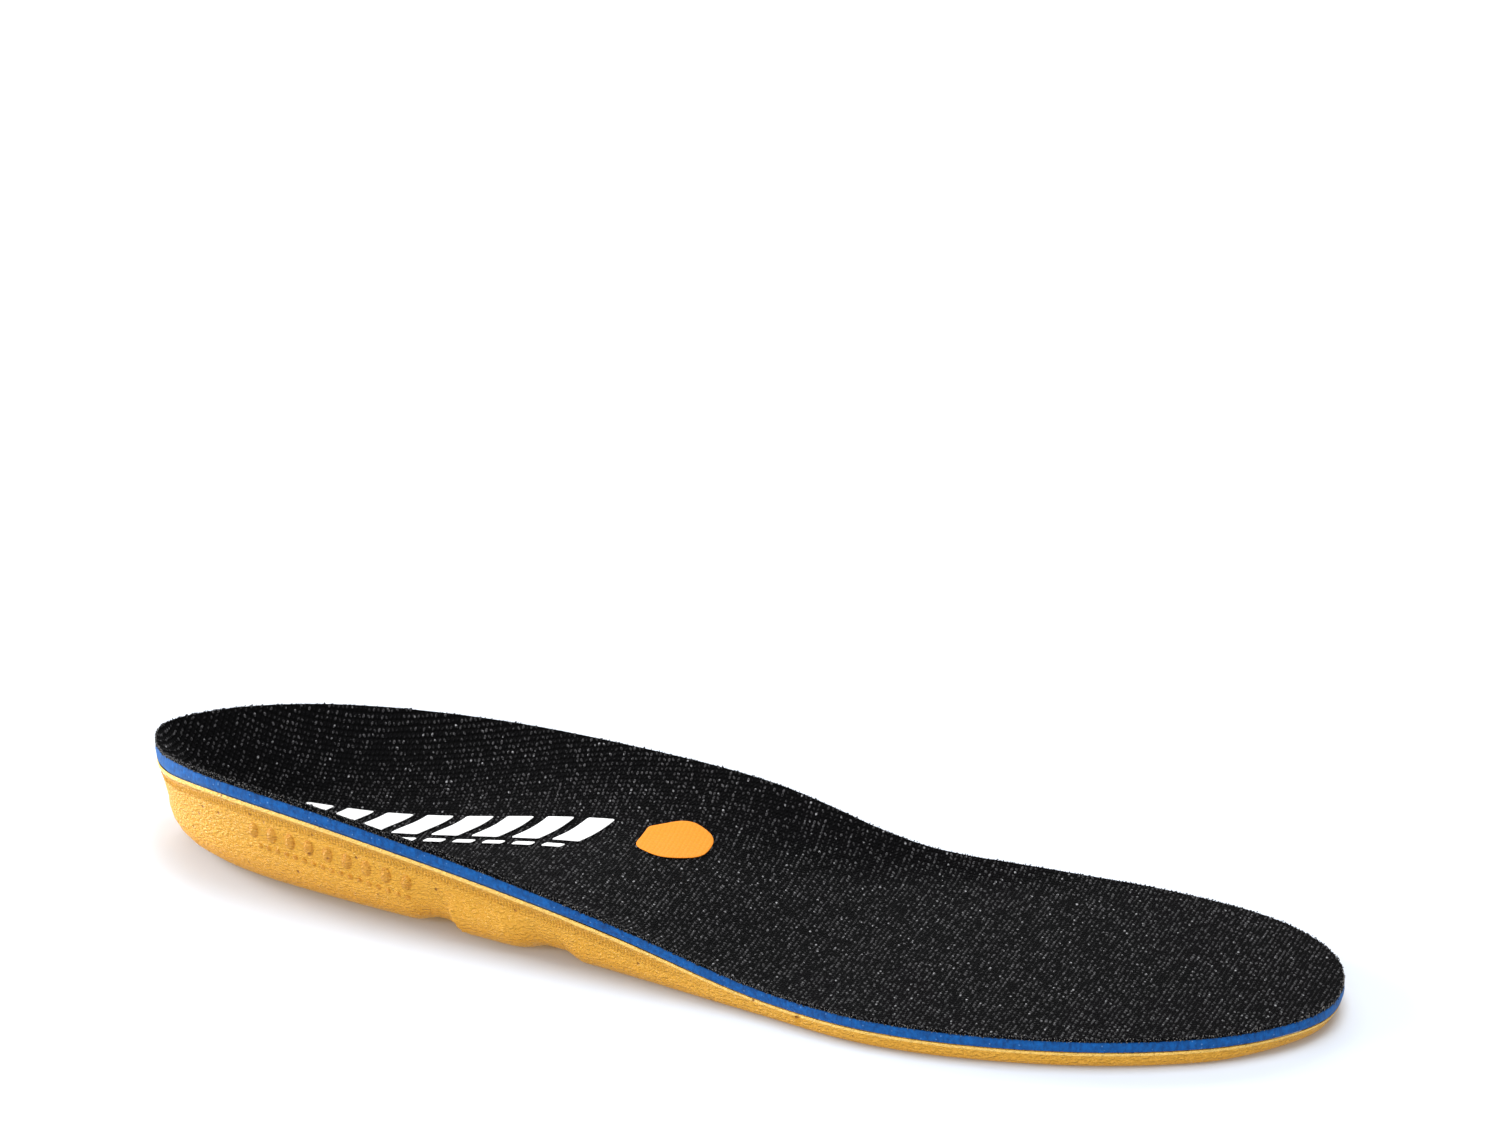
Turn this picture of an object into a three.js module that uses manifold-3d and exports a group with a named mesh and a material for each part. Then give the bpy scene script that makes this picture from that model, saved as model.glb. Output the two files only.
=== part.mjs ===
// A cushioned insole for the right foot, built up as the real one is laminated: a moulded footbed, a foam
// sheet and a knitted cover, glued together with two hot-melt webs and printed on top with a transfer film.
// Millimetres. X runs from the heel to the toe, +Y is the inner (arch) side of the foot and Z is up.
import * as THREE from "three";
import { mergeVertices } from "three/addons/utils/BufferGeometryUtils.js";
import Module from "manifold-3d";

const wasm = await Module();
wasm.setup();
const { smoothstep, lerp, degToRad } = THREE.MathUtils;

// ---- Overall sizes ----
const LENGTH = 290;
const HEEL_WIDTH = 70.6;
const MIDFOOT_WIDTH = 77.5;
const BALL_WIDTH = 95;
const HEEL_RIM = 23.4; // height of the rim at the back of the heel cup
const TOE_THICKNESS = 7; // the whole stack, under the toes

// ---- Layers, each measured square to its surface ----
const COVER = 0.9;
const WEB = 0.15;
const FOAM = 2;
const GLUE_GAP = 0.05; // clearance on each side of a web
const INK = 0.15;

// ---- Top surface ----
const HEEL_SEAT = 8; // height of the top surface under the heel
const ARCH_SEAT = 13; // and at its highest, under the arch
const CUP_WALL = 26; // how far the curved wall of the heel cup reaches in from the rim
const ARCH_WALL = 30;
const EDGE_WALL = 10; // the same along the toe half

// ---- Footbed ----
const WALL_DRAFT = 0.26; // how far the wall leans in, for each millimetre of height
const BASE_ROUND = 0.55; // radius of the bottom edge, as a share of the wall's height
const TOP_CHAMFER = 0.4;
const CHANNEL_DEPTH = 1.8;
const REAR_CHANNEL = 10.5; // widths of the channels between the pads
const FRONT_CHANNEL = 13;
const MIDDLE_CHANNEL = 8;
const GROOVE_DEPTH = 1;
const GROOVE_WIDTH = 2.4;

// ---- Printed marks ----
const PRINT_START = 33; // from the back of the heel to the first bar
const PRINT_ANGLE = degToRad(6);
const BARS = { count: 8, pitch: 9.8, width: 6.6, height: 12.4, lean: 0.32 };
const DASHES = { count: 6, pitch: 7.2, width: 4.8, height: 2, lean: 0.32, start: 30, drop: 9.6 };
const EMBLEM_RADIUS = 9.6;
const EMBLEM_GAP = 15.6; // from the end of the last bar's pitch to the emblem's centre

// ---- Mesh fineness ----
const STEPS_PER_SPAN = 3;
const ACROSS = 10;

const CLEAR_BELOW = 5; // how far a cutter runs past the underside
const TALL = 60; // taller than the insole

// The rim: station along the length, half-widths of the inner and outer sides, and rim height on each side
// as a share of the rise from the toe to the heel.
const RIM_ROWS = [
  [0.03, 0.27 * HEEL_WIDTH, 0.22 * HEEL_WIDTH, 0.97, 1.05],
  [0.1, 0.416 * HEEL_WIDTH, 0.419 * HEEL_WIDTH, 1.02, 1.23],
  [0.22, 0.48 * HEEL_WIDTH, 0.52 * HEEL_WIDTH, 1.09, 1.15],
  [0.35, 0.441 * MIDFOOT_WIDTH, 0.502 * MIDFOOT_WIDTH, 1.07, 0.83],
  [0.48, 0.454 * MIDFOOT_WIDTH, 0.546 * MIDFOOT_WIDTH, 0.86, 0.44],
  [0.6, 0.402 * BALL_WIDTH, 0.486 * BALL_WIDTH, 0.28, 0.05],
  [0.7, 0.461 * BALL_WIDTH, 0.536 * BALL_WIDTH, 0.11, 0.01],
  [0.8, 0.501 * BALL_WIDTH, 0.496 * BALL_WIDTH, 0.01, 0],
  [0.9, 0.441 * BALL_WIDTH, 0.375 * BALL_WIDTH, 0, 0],
  [0.97, 0.279 * BALL_WIDTH, 0.2 * BALL_WIDTH, 0, 0],
];
const END_OFFSET = 2; // the back of the heel and the tip both lie this far to the inner side

const rimHeight = (share) => lerp(TOE_THICKNESS, HEEL_RIM, share);

// The rim as a closed curve: it starts at the back of the heel, runs up the inner side, round the tip and
// back down the outer side. The tip is half-way through its parameter.
function makeRim() {
  const inner = RIM_ROWS.map(([s, y, , h]) => new THREE.Vector3(s * LENGTH, y, rimHeight(h)));
  const outer = RIM_ROWS.map(([s, , y, , h]) => new THREE.Vector3(s * LENGTH, -y, rimHeight(h)));
  const heel = new THREE.Vector3(0, END_OFFSET, HEEL_RIM);
  const tip = new THREE.Vector3(LENGTH, END_OFFSET, TOE_THICKNESS);
  return new THREE.CatmullRomCurve3([heel, ...inner, tip, ...outer.reverse()], true, "centripetal");
}

const rim = makeRim();
const STEPS = STEPS_PER_SPAN * (RIM_ROWS.length + 1); // from the heel to the tip along one side
const rimPolyline = rim.getPoints(STEPS * 16);

// How far the curved edge of the top surface reaches in from the rim.
function wallWidth(station, y) {
  const side = y > 0 ? ARCH_WALL : EDGE_WALL;
  const towardsMid = lerp(CUP_WALL, side, smoothstep(station, 0.12, 0.42));
  return lerp(towardsMid, EDGE_WALL, smoothstep(station, 0.45, 0.7));
}

// Height of the middle of the top surface.
function seatHeight(station) {
  const rising = lerp(HEEL_SEAT, ARCH_SEAT, smoothstep(station, 0.16, 0.4));
  return lerp(rising, TOE_THICKNESS, smoothstep(station, 0.42, 0.63));
}

// The nearest point of the rim in plan: how far away it is, and its height.
function nearestRim(x, y) {
  let best = { distance: Infinity, height: 0 };
  for (let i = 0; i + 1 < rimPolyline.length; i++) {
    const a = rimPolyline[i];
    const b = rimPolyline[i + 1];
    const [dx, dy] = [b.x - a.x, b.y - a.y];
    const along = THREE.MathUtils.clamp(((x - a.x) * dx + (y - a.y) * dy) / (dx * dx + dy * dy), 0, 1);
    const distance = Math.hypot(x - a.x - along * dx, y - a.y - along * dy);
    if (distance < best.distance) best = { distance, height: lerp(a.z, b.z, along) };
  }
  return best;
}

// The top surface rises in a parabola from the seat to the rim. A layer's face lies at a depth below it,
// measured square to the slope.
function faceHeight(x, y, depth) {
  const { distance, height } = nearestRim(x, y);
  const station = x / LENGTH;
  const seat = seatHeight(station);
  const width = wallWidth(station, y);
  const share = Math.max(0, 1 - distance / width);
  const slope = (2 * (height - seat) * share) / width;
  return seat + (height - seat) * share * share - depth * Math.hypot(1, slope);
}

// A point of the rim, moved in by a distance in plan and put at a height.
function insetRim(t, distance, height) {
  const point = rim.getPoint(t);
  const tangent = rim.getTangent(t).setZ(0).normalize();
  return new THREE.Vector3(point.x + distance * tangent.y, point.y - distance * tangent.x, height);
}

// Rows of points across the insole from the outer side to the inner. The first row is the back of the heel
// and the last is the tip.
function rowsBetween(edge) {
  return Array.from({ length: STEPS + 1 }, (_, i) => {
    const t = (0.5 * i) / STEPS;
    const [outer, inner] = [edge(1 - t), edge(t)];
    const across = (_, j) => outer.clone().lerp(inner, (1 - Math.cos((Math.PI * j) / ACROSS)) / 2);
    return Array.from({ length: ACROSS + 1 }, across);
  });
}

const plan = rowsBetween((t) => rim.getPoint(t));
const face = (depth) => plan.map((row) => row.map((p) => p.clone().setZ(faceHeight(p.x, p.y, depth))));

// A closed solid from the rows of its upper face, of any rings down its side and of its lower face. Only
// the outermost points of the rings are used.
function layeredSolid(levels) {
  const positions = [];
  const triangles = [];
  const addPoint = (p) => positions.push(p.x, p.y, p.z) / 3 - 1;
  const addTriangle = (a, b, c) => {
    if (a !== b && b !== c && c !== a) triangles.push(a, b, c);
  };

  const loops = levels.map((rows, n) => {
    const isFace = n === 0 || n === levels.length - 1;
    const index = rows.map((row, i) => {
      if (i === 0 || i === STEPS) return Array(ACROSS + 1).fill(addPoint(row[0]));
      return row.map((p, j) => (isFace || j === 0 || j === ACROSS ? addPoint(p) : -1));
    });
    for (let i = 0; isFace && i < STEPS; i++) {
      for (let j = 0; j < ACROSS; j++) {
        const [a, b, c, d] = [index[i][j], index[i + 1][j], index[i + 1][j + 1], index[i][j + 1]];
        const quad = n === 0 ? [a, b, c, d] : [a, d, c, b];
        addTriangle(quad[0], quad[1], quad[2]);
        addTriangle(quad[0], quad[2], quad[3]);
      }
    }
    return [...index.map((row) => row[0]), ...index.slice(1, -1).map((row) => row[ACROSS]).reverse()];
  });

  for (let n = 0; n + 1 < loops.length; n++) {
    const [upper, lower] = [loops[n], loops[n + 1]];
    upper.forEach((u, k) => {
      const next = (k + 1) % upper.length;
      addTriangle(lower[k], lower[next], upper[next]);
      addTriangle(lower[k], upper[next], u);
    });
  }
  const geometry = new THREE.BufferGeometry();
  geometry.setAttribute("position", new THREE.Float32BufferAttribute(positions, 3));
  geometry.setIndex(triangles);
  return geometry;
}

// A layer of the stack, between two depths below the top surface.
const sheet = (fromDepth, toDepth) => layeredSolid([face(fromDepth), face(toDepth)]);

function toSolid(geometry) {
  const bare = geometry.clone();
  bare.deleteAttribute("normal");
  bare.deleteAttribute("uv");
  const merged = mergeVertices(bare, 1e-4);
  const vertProperties = merged.attributes.position.array;
  const triVerts = new Uint32Array(merged.index.array);
  return new wasm.Manifold(new wasm.Mesh({ numProp: 3, vertProperties, triVerts }));
}

function toGeometry(solid) {
  const { vertProperties, triVerts } = solid.getMesh();
  const geometry = new THREE.BufferGeometry();
  geometry.setAttribute("position", new THREE.BufferAttribute(vertProperties, 3));
  geometry.setIndex(new THREE.BufferAttribute(triVerts, 1));
  return geometry;
}

// An upright prism over a plan shape, between two heights.
function prism(shape, from, to) {
  const geometry = new THREE.ExtrudeGeometry(shape, { depth: to - from, bevelEnabled: false });
  return toSolid(geometry.translate(0, 0, from));
}

// A band of even width that follows a curve in plan. Its ends are square.
function bandShape(points, width) {
  const curve = new THREE.SplineCurve(points.map(([x, y]) => new THREE.Vector2(x, y)));
  const steps = 5 * (points.length - 1);
  const side = (sign) =>
    Array.from({ length: steps + 1 }, (_, i) => {
      const tangent = curve.getTangent(i / steps);
      const normal = new THREE.Vector2(-tangent.y, tangent.x).multiplyScalar((sign * width) / 2);
      return curve.getPoint(i / steps).add(normal);
    });
  return new THREE.Shape([...side(1), ...side(-1).reverse()]);
}

// ---- Depths of the faces of the stack ----
const coverWebTop = COVER + GLUE_GAP;
const foamTop = coverWebTop + WEB + GLUE_GAP;
const footbedWebTop = foamTop + FOAM + GLUE_GAP;
const footbedTop = footbedWebTop + WEB + GLUE_GAP;

// Two curved channels cross the midfoot and a third joins them, so that four pads stand on the ground.
function channelCutters() {
  const crossing = (outer, middle, inner) => [
    [outer * LENGTH, -MIDFOOT_WIDTH],
    [outer * LENGTH, -0.4 * MIDFOOT_WIDTH],
    [middle * LENGTH, 0.06 * MIDFOOT_WIDTH],
    [inner * LENGTH, MIDFOOT_WIDTH],
  ];
  const joining = [0.3, 0.36, 0.42].map((station) => [station * LENGTH, -0.05 * MIDFOOT_WIDTH]);
  const bands = [
    bandShape(crossing(0.306, 0.295, 0.25), REAR_CHANNEL),
    bandShape(crossing(0.412, 0.43, 0.47), FRONT_CHANNEL),
    bandShape(joining, MIDDLE_CHANNEL),
  ];
  return bands.map((shape) => prism(shape, -CLEAR_BELOW, CHANNEL_DEPTH));
}

// Flex grooves under the ball of the foot, and nested U-shaped grooves under the heel.
function grooveCutters() {
  const flex = [0.58, 0.625, 0.67, 0.715].map((station) => [
    [(station - 0.012) * LENGTH, -0.36 * BALL_WIDTH],
    [(station + 0.012) * LENGTH, 0],
    [(station + 0.02) * LENGTH, 0.3 * BALL_WIDTH],
  ]);
  const heel = [0.13, 0.21].map((share) => {
    const [radius, centre] = [share * HEEL_WIDTH, 0.13 * LENGTH];
    const half = (sign) => [[centre + 2 * radius, sign * radius], [centre, sign * radius]];
    return [...half(1), [centre - 0.9 * radius, 0], ...half(-1).reverse()];
  });
  return [...flex, ...heel].map((line) => prism(bandShape(line, GROOVE_WIDTH), -CLEAR_BELOW, GROOVE_DEPTH));
}

// The footbed's wall leans in from its top edge and turns under in a quarter circle to the flat underside.
function footbed() {
  const ring = (insetAndHeight) =>
    rowsBetween((t) => {
      const edge = rim.getPoint(t);
      const top = faceHeight(edge.x, edge.y, footbedTop);
      const [inset, height] = insetAndHeight(top);
      return insetRim(t, inset, height);
    });
  const lean = (top, height) => TOP_CHAMFER + WALL_DRAFT * (top - height);
  const turn = (degrees) => (top) => {
    const [radius, angle] = [BASE_ROUND * top, degToRad(degrees)];
    return [lean(top, radius) + radius * (1 - Math.cos(angle)), radius * (1 - Math.sin(angle))];
  };
  const belowEdge = (top) => [TOP_CHAMFER, top - TOP_CHAMFER];
  const turned = [0, 30, 60, 90].map((degrees) => ring(turn(degrees)));
  let solid = toSolid(layeredSolid([face(footbedTop), ring(belowEdge), ...turned]));
  for (const cutter of [...channelCutters(), ...grooveCutters()]) solid = solid.subtract(cutter);
  return toGeometry(solid);
}

// ---- Printed marks: a row of leaning bars, a row of short dashes below it and a hexagon in front ----
const printOrigin = new THREE.Vector2(PRINT_START, 0);
const onPrintLine = (x, y) =>
  new THREE.Vector2(x, y).rotateAround(new THREE.Vector2(), PRINT_ANGLE).add(printOrigin);

function leaningBar({ width, height, lean }, x, y) {
  const corner = (u, v) => onPrintLine(x + u * width + v * height * lean, y + v * height);
  return new THREE.Shape([corner(0, -0.5), corner(1, -0.5), corner(1, 0.5), corner(0, 0.5)]);
}

function hexagon(radius, x, y) {
  const corner = (_, k) => {
    const angle = degToRad(60 * k + 30);
    return onPrintLine(x + radius * Math.cos(angle), y + radius * Math.sin(angle));
  };
  return new THREE.Shape(Array.from({ length: 6 }, corner));
}

function printShapes() {
  const shapes = [];
  for (let i = 0; i < BARS.count; i++) {
    shapes.push([`print_bar_${i + 1}`, leaningBar(BARS, i * BARS.pitch, 0)]);
  }
  for (let i = 0; i < DASHES.count; i++) {
    shapes.push([`print_dash_${i + 1}`, leaningBar(DASHES, DASHES.start + i * DASHES.pitch, -DASHES.drop)]);
  }
  shapes.push(["print_emblem", hexagon(EMBLEM_RADIUS, BARS.count * BARS.pitch + EMBLEM_GAP, 0)]);
  return shapes;
}

// ---- Assembly ----
const material = (color, roughness) => new THREE.MeshStandardMaterial({ color, roughness, metalness: 0 });
const knit = material(0x121214, 0.95);
const web = material(0xd8d6cc, 0.6);
const blueFoam = material(0x1c4fa0, 0.9);
const moulded = material(0xf0a92c, 0.6);
const whiteInk = material(0xf2f2f0, 0.5);
const orangeInk = material(0xf29a2e, 0.5);

const insole = new THREE.Group();
function add(name, geometry, finish) {
  const mesh = new THREE.Mesh(geometry, finish);
  mesh.name = name;
  insole.add(mesh);
}

add("top_cover", sheet(0, COVER), knit);
add("cover_glue_web", sheet(coverWebTop, coverWebTop + WEB), web);
add("cushion_foam", sheet(foamTop, foamTop + FOAM), blueFoam);
add("footbed_glue_web", sheet(footbedWebTop, footbedWebTop + WEB), web);
add("moulded_footbed", footbed(), moulded);

const inkFilm = toSolid(sheet(-GLUE_GAP - INK, -GLUE_GAP));
for (const [name, shape] of printShapes()) {
  const ink = name === "print_emblem" ? orangeInk : whiteInk;
  add(name, toGeometry(inkFilm.intersect(prism(shape, -TALL, TALL))), ink);
}

// The part's origin is the middle of its footprint.
const box = new THREE.Box3().setFromObject(insole);
insole.position.set(-(box.min.x + box.max.x) / 2, -(box.min.y + box.max.y) / 2, -box.min.z);

export default insole;
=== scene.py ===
"""A cushioned insole for the right foot: a knitted cover, a foam cushion and a moulded footbed, glued with
two webs and printed on top.

Metres. +X runs from the heel to the toe, +Y is the inner (arch) side and Z is up.
"""
import math

import bpy
import numpy as np
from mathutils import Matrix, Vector
from mathutils.bvhtree import BVHTree


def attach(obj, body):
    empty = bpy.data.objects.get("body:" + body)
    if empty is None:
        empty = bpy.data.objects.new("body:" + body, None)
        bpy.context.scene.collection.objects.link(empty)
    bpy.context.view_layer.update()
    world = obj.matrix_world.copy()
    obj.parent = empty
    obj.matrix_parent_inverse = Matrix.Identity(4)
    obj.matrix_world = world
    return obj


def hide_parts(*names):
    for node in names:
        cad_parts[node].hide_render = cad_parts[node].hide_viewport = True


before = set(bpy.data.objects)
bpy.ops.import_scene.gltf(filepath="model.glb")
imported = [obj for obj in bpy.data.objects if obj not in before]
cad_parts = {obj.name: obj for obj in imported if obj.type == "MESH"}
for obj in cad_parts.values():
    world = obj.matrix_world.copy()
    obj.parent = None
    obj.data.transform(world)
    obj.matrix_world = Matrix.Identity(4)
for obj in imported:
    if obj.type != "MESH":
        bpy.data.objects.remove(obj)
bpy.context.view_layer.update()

MM = 0.001
BODY = "root"

# ---- The lay-up's grid, as the frame's sheets have it ----
GRID_ROWS = 33
GRID_COLUMNS = 10

# ---- Cover and stitches ----
STITCH_PITCH = 1.08 * MM
STITCH_LENGTH = 1.12 * MM
STITCH_WIDTH = 0.58 * MM
STITCH_RISE = 0.25 * MM
PRESSED_EDGE = 0.1  # the cover is pressed this share thinner at its cut edge,
HEEL_PRESSED = 0.68  # and by this share more round the back of the heel,
PRESSED_REACH = 2.5 * MM  # from this far in
KNIT_TURN = math.radians(11)
KNIT_LEAN = math.radians(20)

# ---- Glue webs: how far they stop short of the edge, in steps of the grid ----
WEB_END_GAP = 1.2
WEB_SIDE_GAP = 0.9

# ---- Cushion ----
CUSHION_BULGE = 0.22 * MM
FELT_ROUGHNESS = 0.08 * MM
RIM_THICKNESS = 1.95 * MM  # the cushion is pressed to this height at its cut edge,
RIM_REACH = 5.5 * MM  # from this far in

# ---- Footbed ----
LIP_HEIGHT = 1.05 * MM
LIP_STEP = 0.45 * MM
WALL_DRAFT = 0.26
BASE_ROUND = 0.55
CHANNEL_DEPTH = 1.8 * MM
RECESS_DEPTH = 1.3 * MM
KNURL_HEIGHT = 2.0 * MM
TOE_TUCK = 1.5 * MM  # how much further the base runs in under the tip

# ---- Printed films ----
FILM_THICKNESS = 0.14 * MM


# ======== Reading the frame ========
def corner_points(node):
    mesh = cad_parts[node].data
    places = np.empty(3 * len(mesh.vertices), np.float32)
    mesh.vertices.foreach_get("co", places)
    return places.reshape(-1, 3).astype(float)


def plan_outline(node):
    """The upright side's corners in plan: heel, outer side, tip, inner side."""
    points = corner_points(node)
    side = {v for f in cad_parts[node].data.polygons if abs(f.normal.z) < 0.05 for v in f.vertices}
    plan = np.unique(np.round(points[sorted(side), :2], 6), axis=0)
    turn = np.arctan2(plan[:, 1], plan[:, 0])
    from_heel = (turn - turn[plan[:, 0].argmin()]) % (2 * math.pi)
    return plan[from_heel.argsort()]


outline = plan_outline("top_cover")
outer_edge = outline[: GRID_ROWS + 1]
inner_edge = outline[-np.arange(GRID_ROWS + 1) % len(outline)]


def face_grid(node, lowest=False):
    """A sheet's upper or lower face: rows from heel to tip, columns from the outer side to the inner."""
    points = corner_points(node)
    plan, place = np.unique(np.round(points[:, :2], 6), axis=0, return_inverse=True)
    height = np.full(len(plan), np.inf if lowest else -np.inf)
    (np.minimum if lowest else np.maximum).at(height, place.ravel(), points[:, 2])
    across = (1 - np.cos(np.pi * np.arange(GRID_COLUMNS + 1) / GRID_COLUMNS)) / 2
    grid = outer_edge[:, None] + (inner_edge - outer_edge)[:, None] * across[None, :, None]
    nearest = ((grid[:, :, None] - plan[None, None]) ** 2).sum(-1).argmin(-1)
    return np.dstack([plan[nearest], height[nearest]])


def smooth_weights(places, spans):
    """Catmull-Rom weights on points numbered from -1 to spans + 1."""
    start = np.minimum(np.floor(places).astype(int), spans - 1)
    t = places - start
    weights = np.zeros((len(places), spans + 3))
    parts = [
        (-t + 2 * t**2 - t**3) / 2, (2 - 5 * t**2 + 3 * t**3) / 2, (t + 4 * t**2 - 3 * t**3) / 2,
        (t**3 - t**2) / 2
    ]
    for k, part in enumerate(parts):
        weights[np.arange(len(places)), start + k] = part
    return weights


def fine_face(grid, rows, columns):
    """The same face with more rows and columns, on smooth curves through its points."""
    ends = np.concatenate([grid[1:2, ::-1], grid, grid[-2:-1, ::-1]])
    padded = np.concatenate([ends[:, 1:2], ends, ends[:, -2:-1]], axis=1)
    along = smooth_weights(np.linspace(0, GRID_ROWS, rows + 1), GRID_ROWS)
    across = smooth_weights(np.linspace(0, GRID_COLUMNS, columns + 1), GRID_COLUMNS)
    return np.einsum("ua,abc,vb->uvc", along, padded, across)


def edge_loop(face):
    """The edge of a face as one ring: along the outer side to the tip, and back along the inner side."""
    return np.concatenate([face[:, 0], face[-2:0:-1, -1]])


def outward(ring):
    """Directions square to a ring in plan, pointing out."""
    along = np.roll(ring, -1, 0) - np.roll(ring, 1, 0)
    side = np.stack([along[:, 1], -along[:, 0], np.zeros(len(ring))], 1)
    return side / np.linalg.norm(side, axis=1, keepdims=True)


def smoothstep(x, low, high):
    t = np.clip((x - low) / (high - low), 0, 1)
    return t * t * (3 - 2 * t)


def distance_to(line, plan):
    best = np.full(len(plan), np.inf)
    for a, b in zip(line[:-1], line[1:]):
        d = b - a
        t = np.clip(((plan - a) @ d) / (d @ d), 0, 1)
        best = np.minimum(best, np.linalg.norm(plan - a - t[:, None] * d, axis=1))
    return best


def from_edge(face):
    """How far each point of a face lies from the edge, in plan."""
    ring = edge_loop(face)[:, :2]
    return distance_to(
        np.concatenate([ring, ring[:1]])[::2], face.reshape(-1, 3)[:, :2]
    ).reshape(face.shape[:2])


def ring_noise(rng, count, levels, reach):
    """Soft noise round a ring, a row for each level."""
    noise = rng.standard_normal((levels, count))
    kernel = np.exp(-0.5 * (np.arange(-3 * reach, 3 * reach + 1) / reach) ** 2)
    wrapped = np.concatenate([noise[:, -3 * reach :], noise, noise[:, : 3 * reach]], 1)
    soft = np.stack([np.convolve(row, kernel, "valid") for row in wrapped])
    return soft / soft.std()


# ======== Building meshes ========
def new_piece(name, mesh, finish=None):
    piece = bpy.data.objects.new(name, mesh)
    bpy.context.scene.collection.objects.link(piece)
    if finish is not None:
        mesh.materials.append(finish)
    return piece


def layered_mesh(name, upper, rings, lower):
    """A closed mesh from an upper face, rings down its side and a lower face.

    Its UV map, in metres, runs along the edge on the side and in plan on the faces.
    """
    rows = len(upper) - 1
    places, faces, maps = [], [], []
    count = 0

    def add_face(face, turned):
        nonlocal count
        columns = face.shape[1] - 1
        index = np.arange(count, count + face.shape[0] * face.shape[1]).reshape(face.shape[:2])
        index[0], index[-1] = index[0, 0], index[-1, 0]
        places.append(face.reshape(-1, 3))
        count += face.shape[0] * face.shape[1]
        for i in range(rows):
            for j in range(columns):
                quad = [(i, j), (i + 1, j), (i + 1, j + 1), (i, j + 1)]
                corners, seen = [], set()
                for c in quad if not turned else quad[::-1]:
                    if index[c] not in seen:
                        seen.add(index[c])
                        corners.append(c)
                faces.append([int(index[c]) for c in corners])
                maps.extend((float(face[c][0]), float(face[c][1])) for c in corners)
        return np.concatenate([index[:, 0], index[-2:0:-1, -1]])

    loops = [add_face(upper, False)]
    loop_points = [edge_loop(upper)]
    for ring in rings:
        places.append(ring)
        loops.append(np.arange(count, count + len(ring)))
        loop_points.append(ring)
        count += len(ring)
    loops.append(add_face(lower, True))
    loop_points.append(edge_loop(lower))

    steps = np.linalg.norm(
        np.diff(np.concatenate([loop_points[0], loop_points[0][:1]])[:, :2], axis=0), axis=1
    )
    run = np.concatenate([[0], np.cumsum(steps)])
    fall = np.concatenate(
        [
            [np.zeros(len(run) - 1)],
            np.cumsum(
                [np.linalg.norm(b - a, axis=1) for a, b in zip(loop_points, loop_points[1:])], axis=0
            )
        ]
    )
    for n in range(len(loops) - 1):
        high, low = loops[n], loops[n + 1]
        for k in range(len(high)):
            m = (k + 1) % len(high)
            faces.append([int(low[k]), int(low[m]), int(high[m]), int(high[k])])
            maps.extend(
                [
                    (run[k], fall[n + 1][k]), (run[k + 1], fall[n + 1][m]), (run[k + 1], fall[n][m]),
                    (run[k], fall[n][k])
                ]
            )
    mesh = bpy.data.meshes.new(name)
    every = np.concatenate(places)
    used = np.unique(np.concatenate([np.array(f) for f in faces]))
    renumber = np.full(len(every), -1)
    renumber[used] = np.arange(len(used))
    mesh.from_pydata(every[used].tolist(), [], [[int(renumber[v]) for v in f] for f in faces])
    layer = mesh.uv_layers.new(name="lay")
    layer.data.foreach_set("uv", np.array(maps, np.float32).ravel())
    mesh.polygons.foreach_set("use_smooth", np.ones(len(faces), bool))
    mesh.validate()
    return mesh


def paint(mesh, name, values):
    """A number at each corner point, which a material can read."""
    layer = mesh.attributes.new(name, "FLOAT", "POINT")
    layer.data.foreach_set("value", np.asarray(values, np.float32))


def mesh_points(mesh):
    places = np.empty(3 * len(mesh.vertices), np.float32)
    mesh.vertices.foreach_get("co", places)
    return places.reshape(-1, 3).astype(float)


# ======== Node helpers ========
def put(tree, kind, inputs=None, **settings):
    """A new node, with its settings and its inputs: a value, or the socket that feeds it."""
    made = tree.nodes.new(kind)
    for key, value in settings.items():
        setattr(made, key, value)
    for key, value in (inputs or {}).items():
        if isinstance(value, bpy.types.NodeSocket):
            tree.links.new(value, made.inputs[key])
        else:
            made.inputs[key].default_value = value
    return made


def math_node(tree, operation, a, b=None, c=None):
    inputs = {k: v for k, v in enumerate((a, b, c)) if v is not None}
    return put(tree, "ShaderNodeMath", inputs, operation=operation).outputs[0]


def spread(tree, value, from_low, from_high, to_low=0.0, to_high=1.0, smooth=False):
    made = put(
        tree, "ShaderNodeMapRange",
        {"Value": value, "From Min": from_low, "From Max": from_high, "To Min": to_low, "To Max": to_high}
    )
    if smooth:
        made.interpolation_type = "SMOOTHSTEP"
    return made.outputs["Result"]


def mix_colour(tree, share, a, b, blend="MIX"):
    return put(tree, "ShaderNodeMix", {0: share, 6: a, 7: b}, data_type="RGBA", blend_type=blend).outputs[2]


def new_group(name, inputs, outputs, kind="ShaderNodeTree"):
    tree = bpy.data.node_groups.new(name, kind)
    for socket, (type_, value) in inputs.items():
        made = tree.interface.new_socket(socket, in_out="INPUT", socket_type=type_)
        if value is not None:
            made.default_value = value
    for socket, type_ in outputs.items():
        tree.interface.new_socket(socket, in_out="OUTPUT", socket_type=type_)
    return tree, tree.nodes.new("NodeGroupInput").outputs, tree.nodes.new("NodeGroupOutput").inputs


VECTOR, FLOAT = "NodeSocketVector", "NodeSocketFloat"


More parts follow.
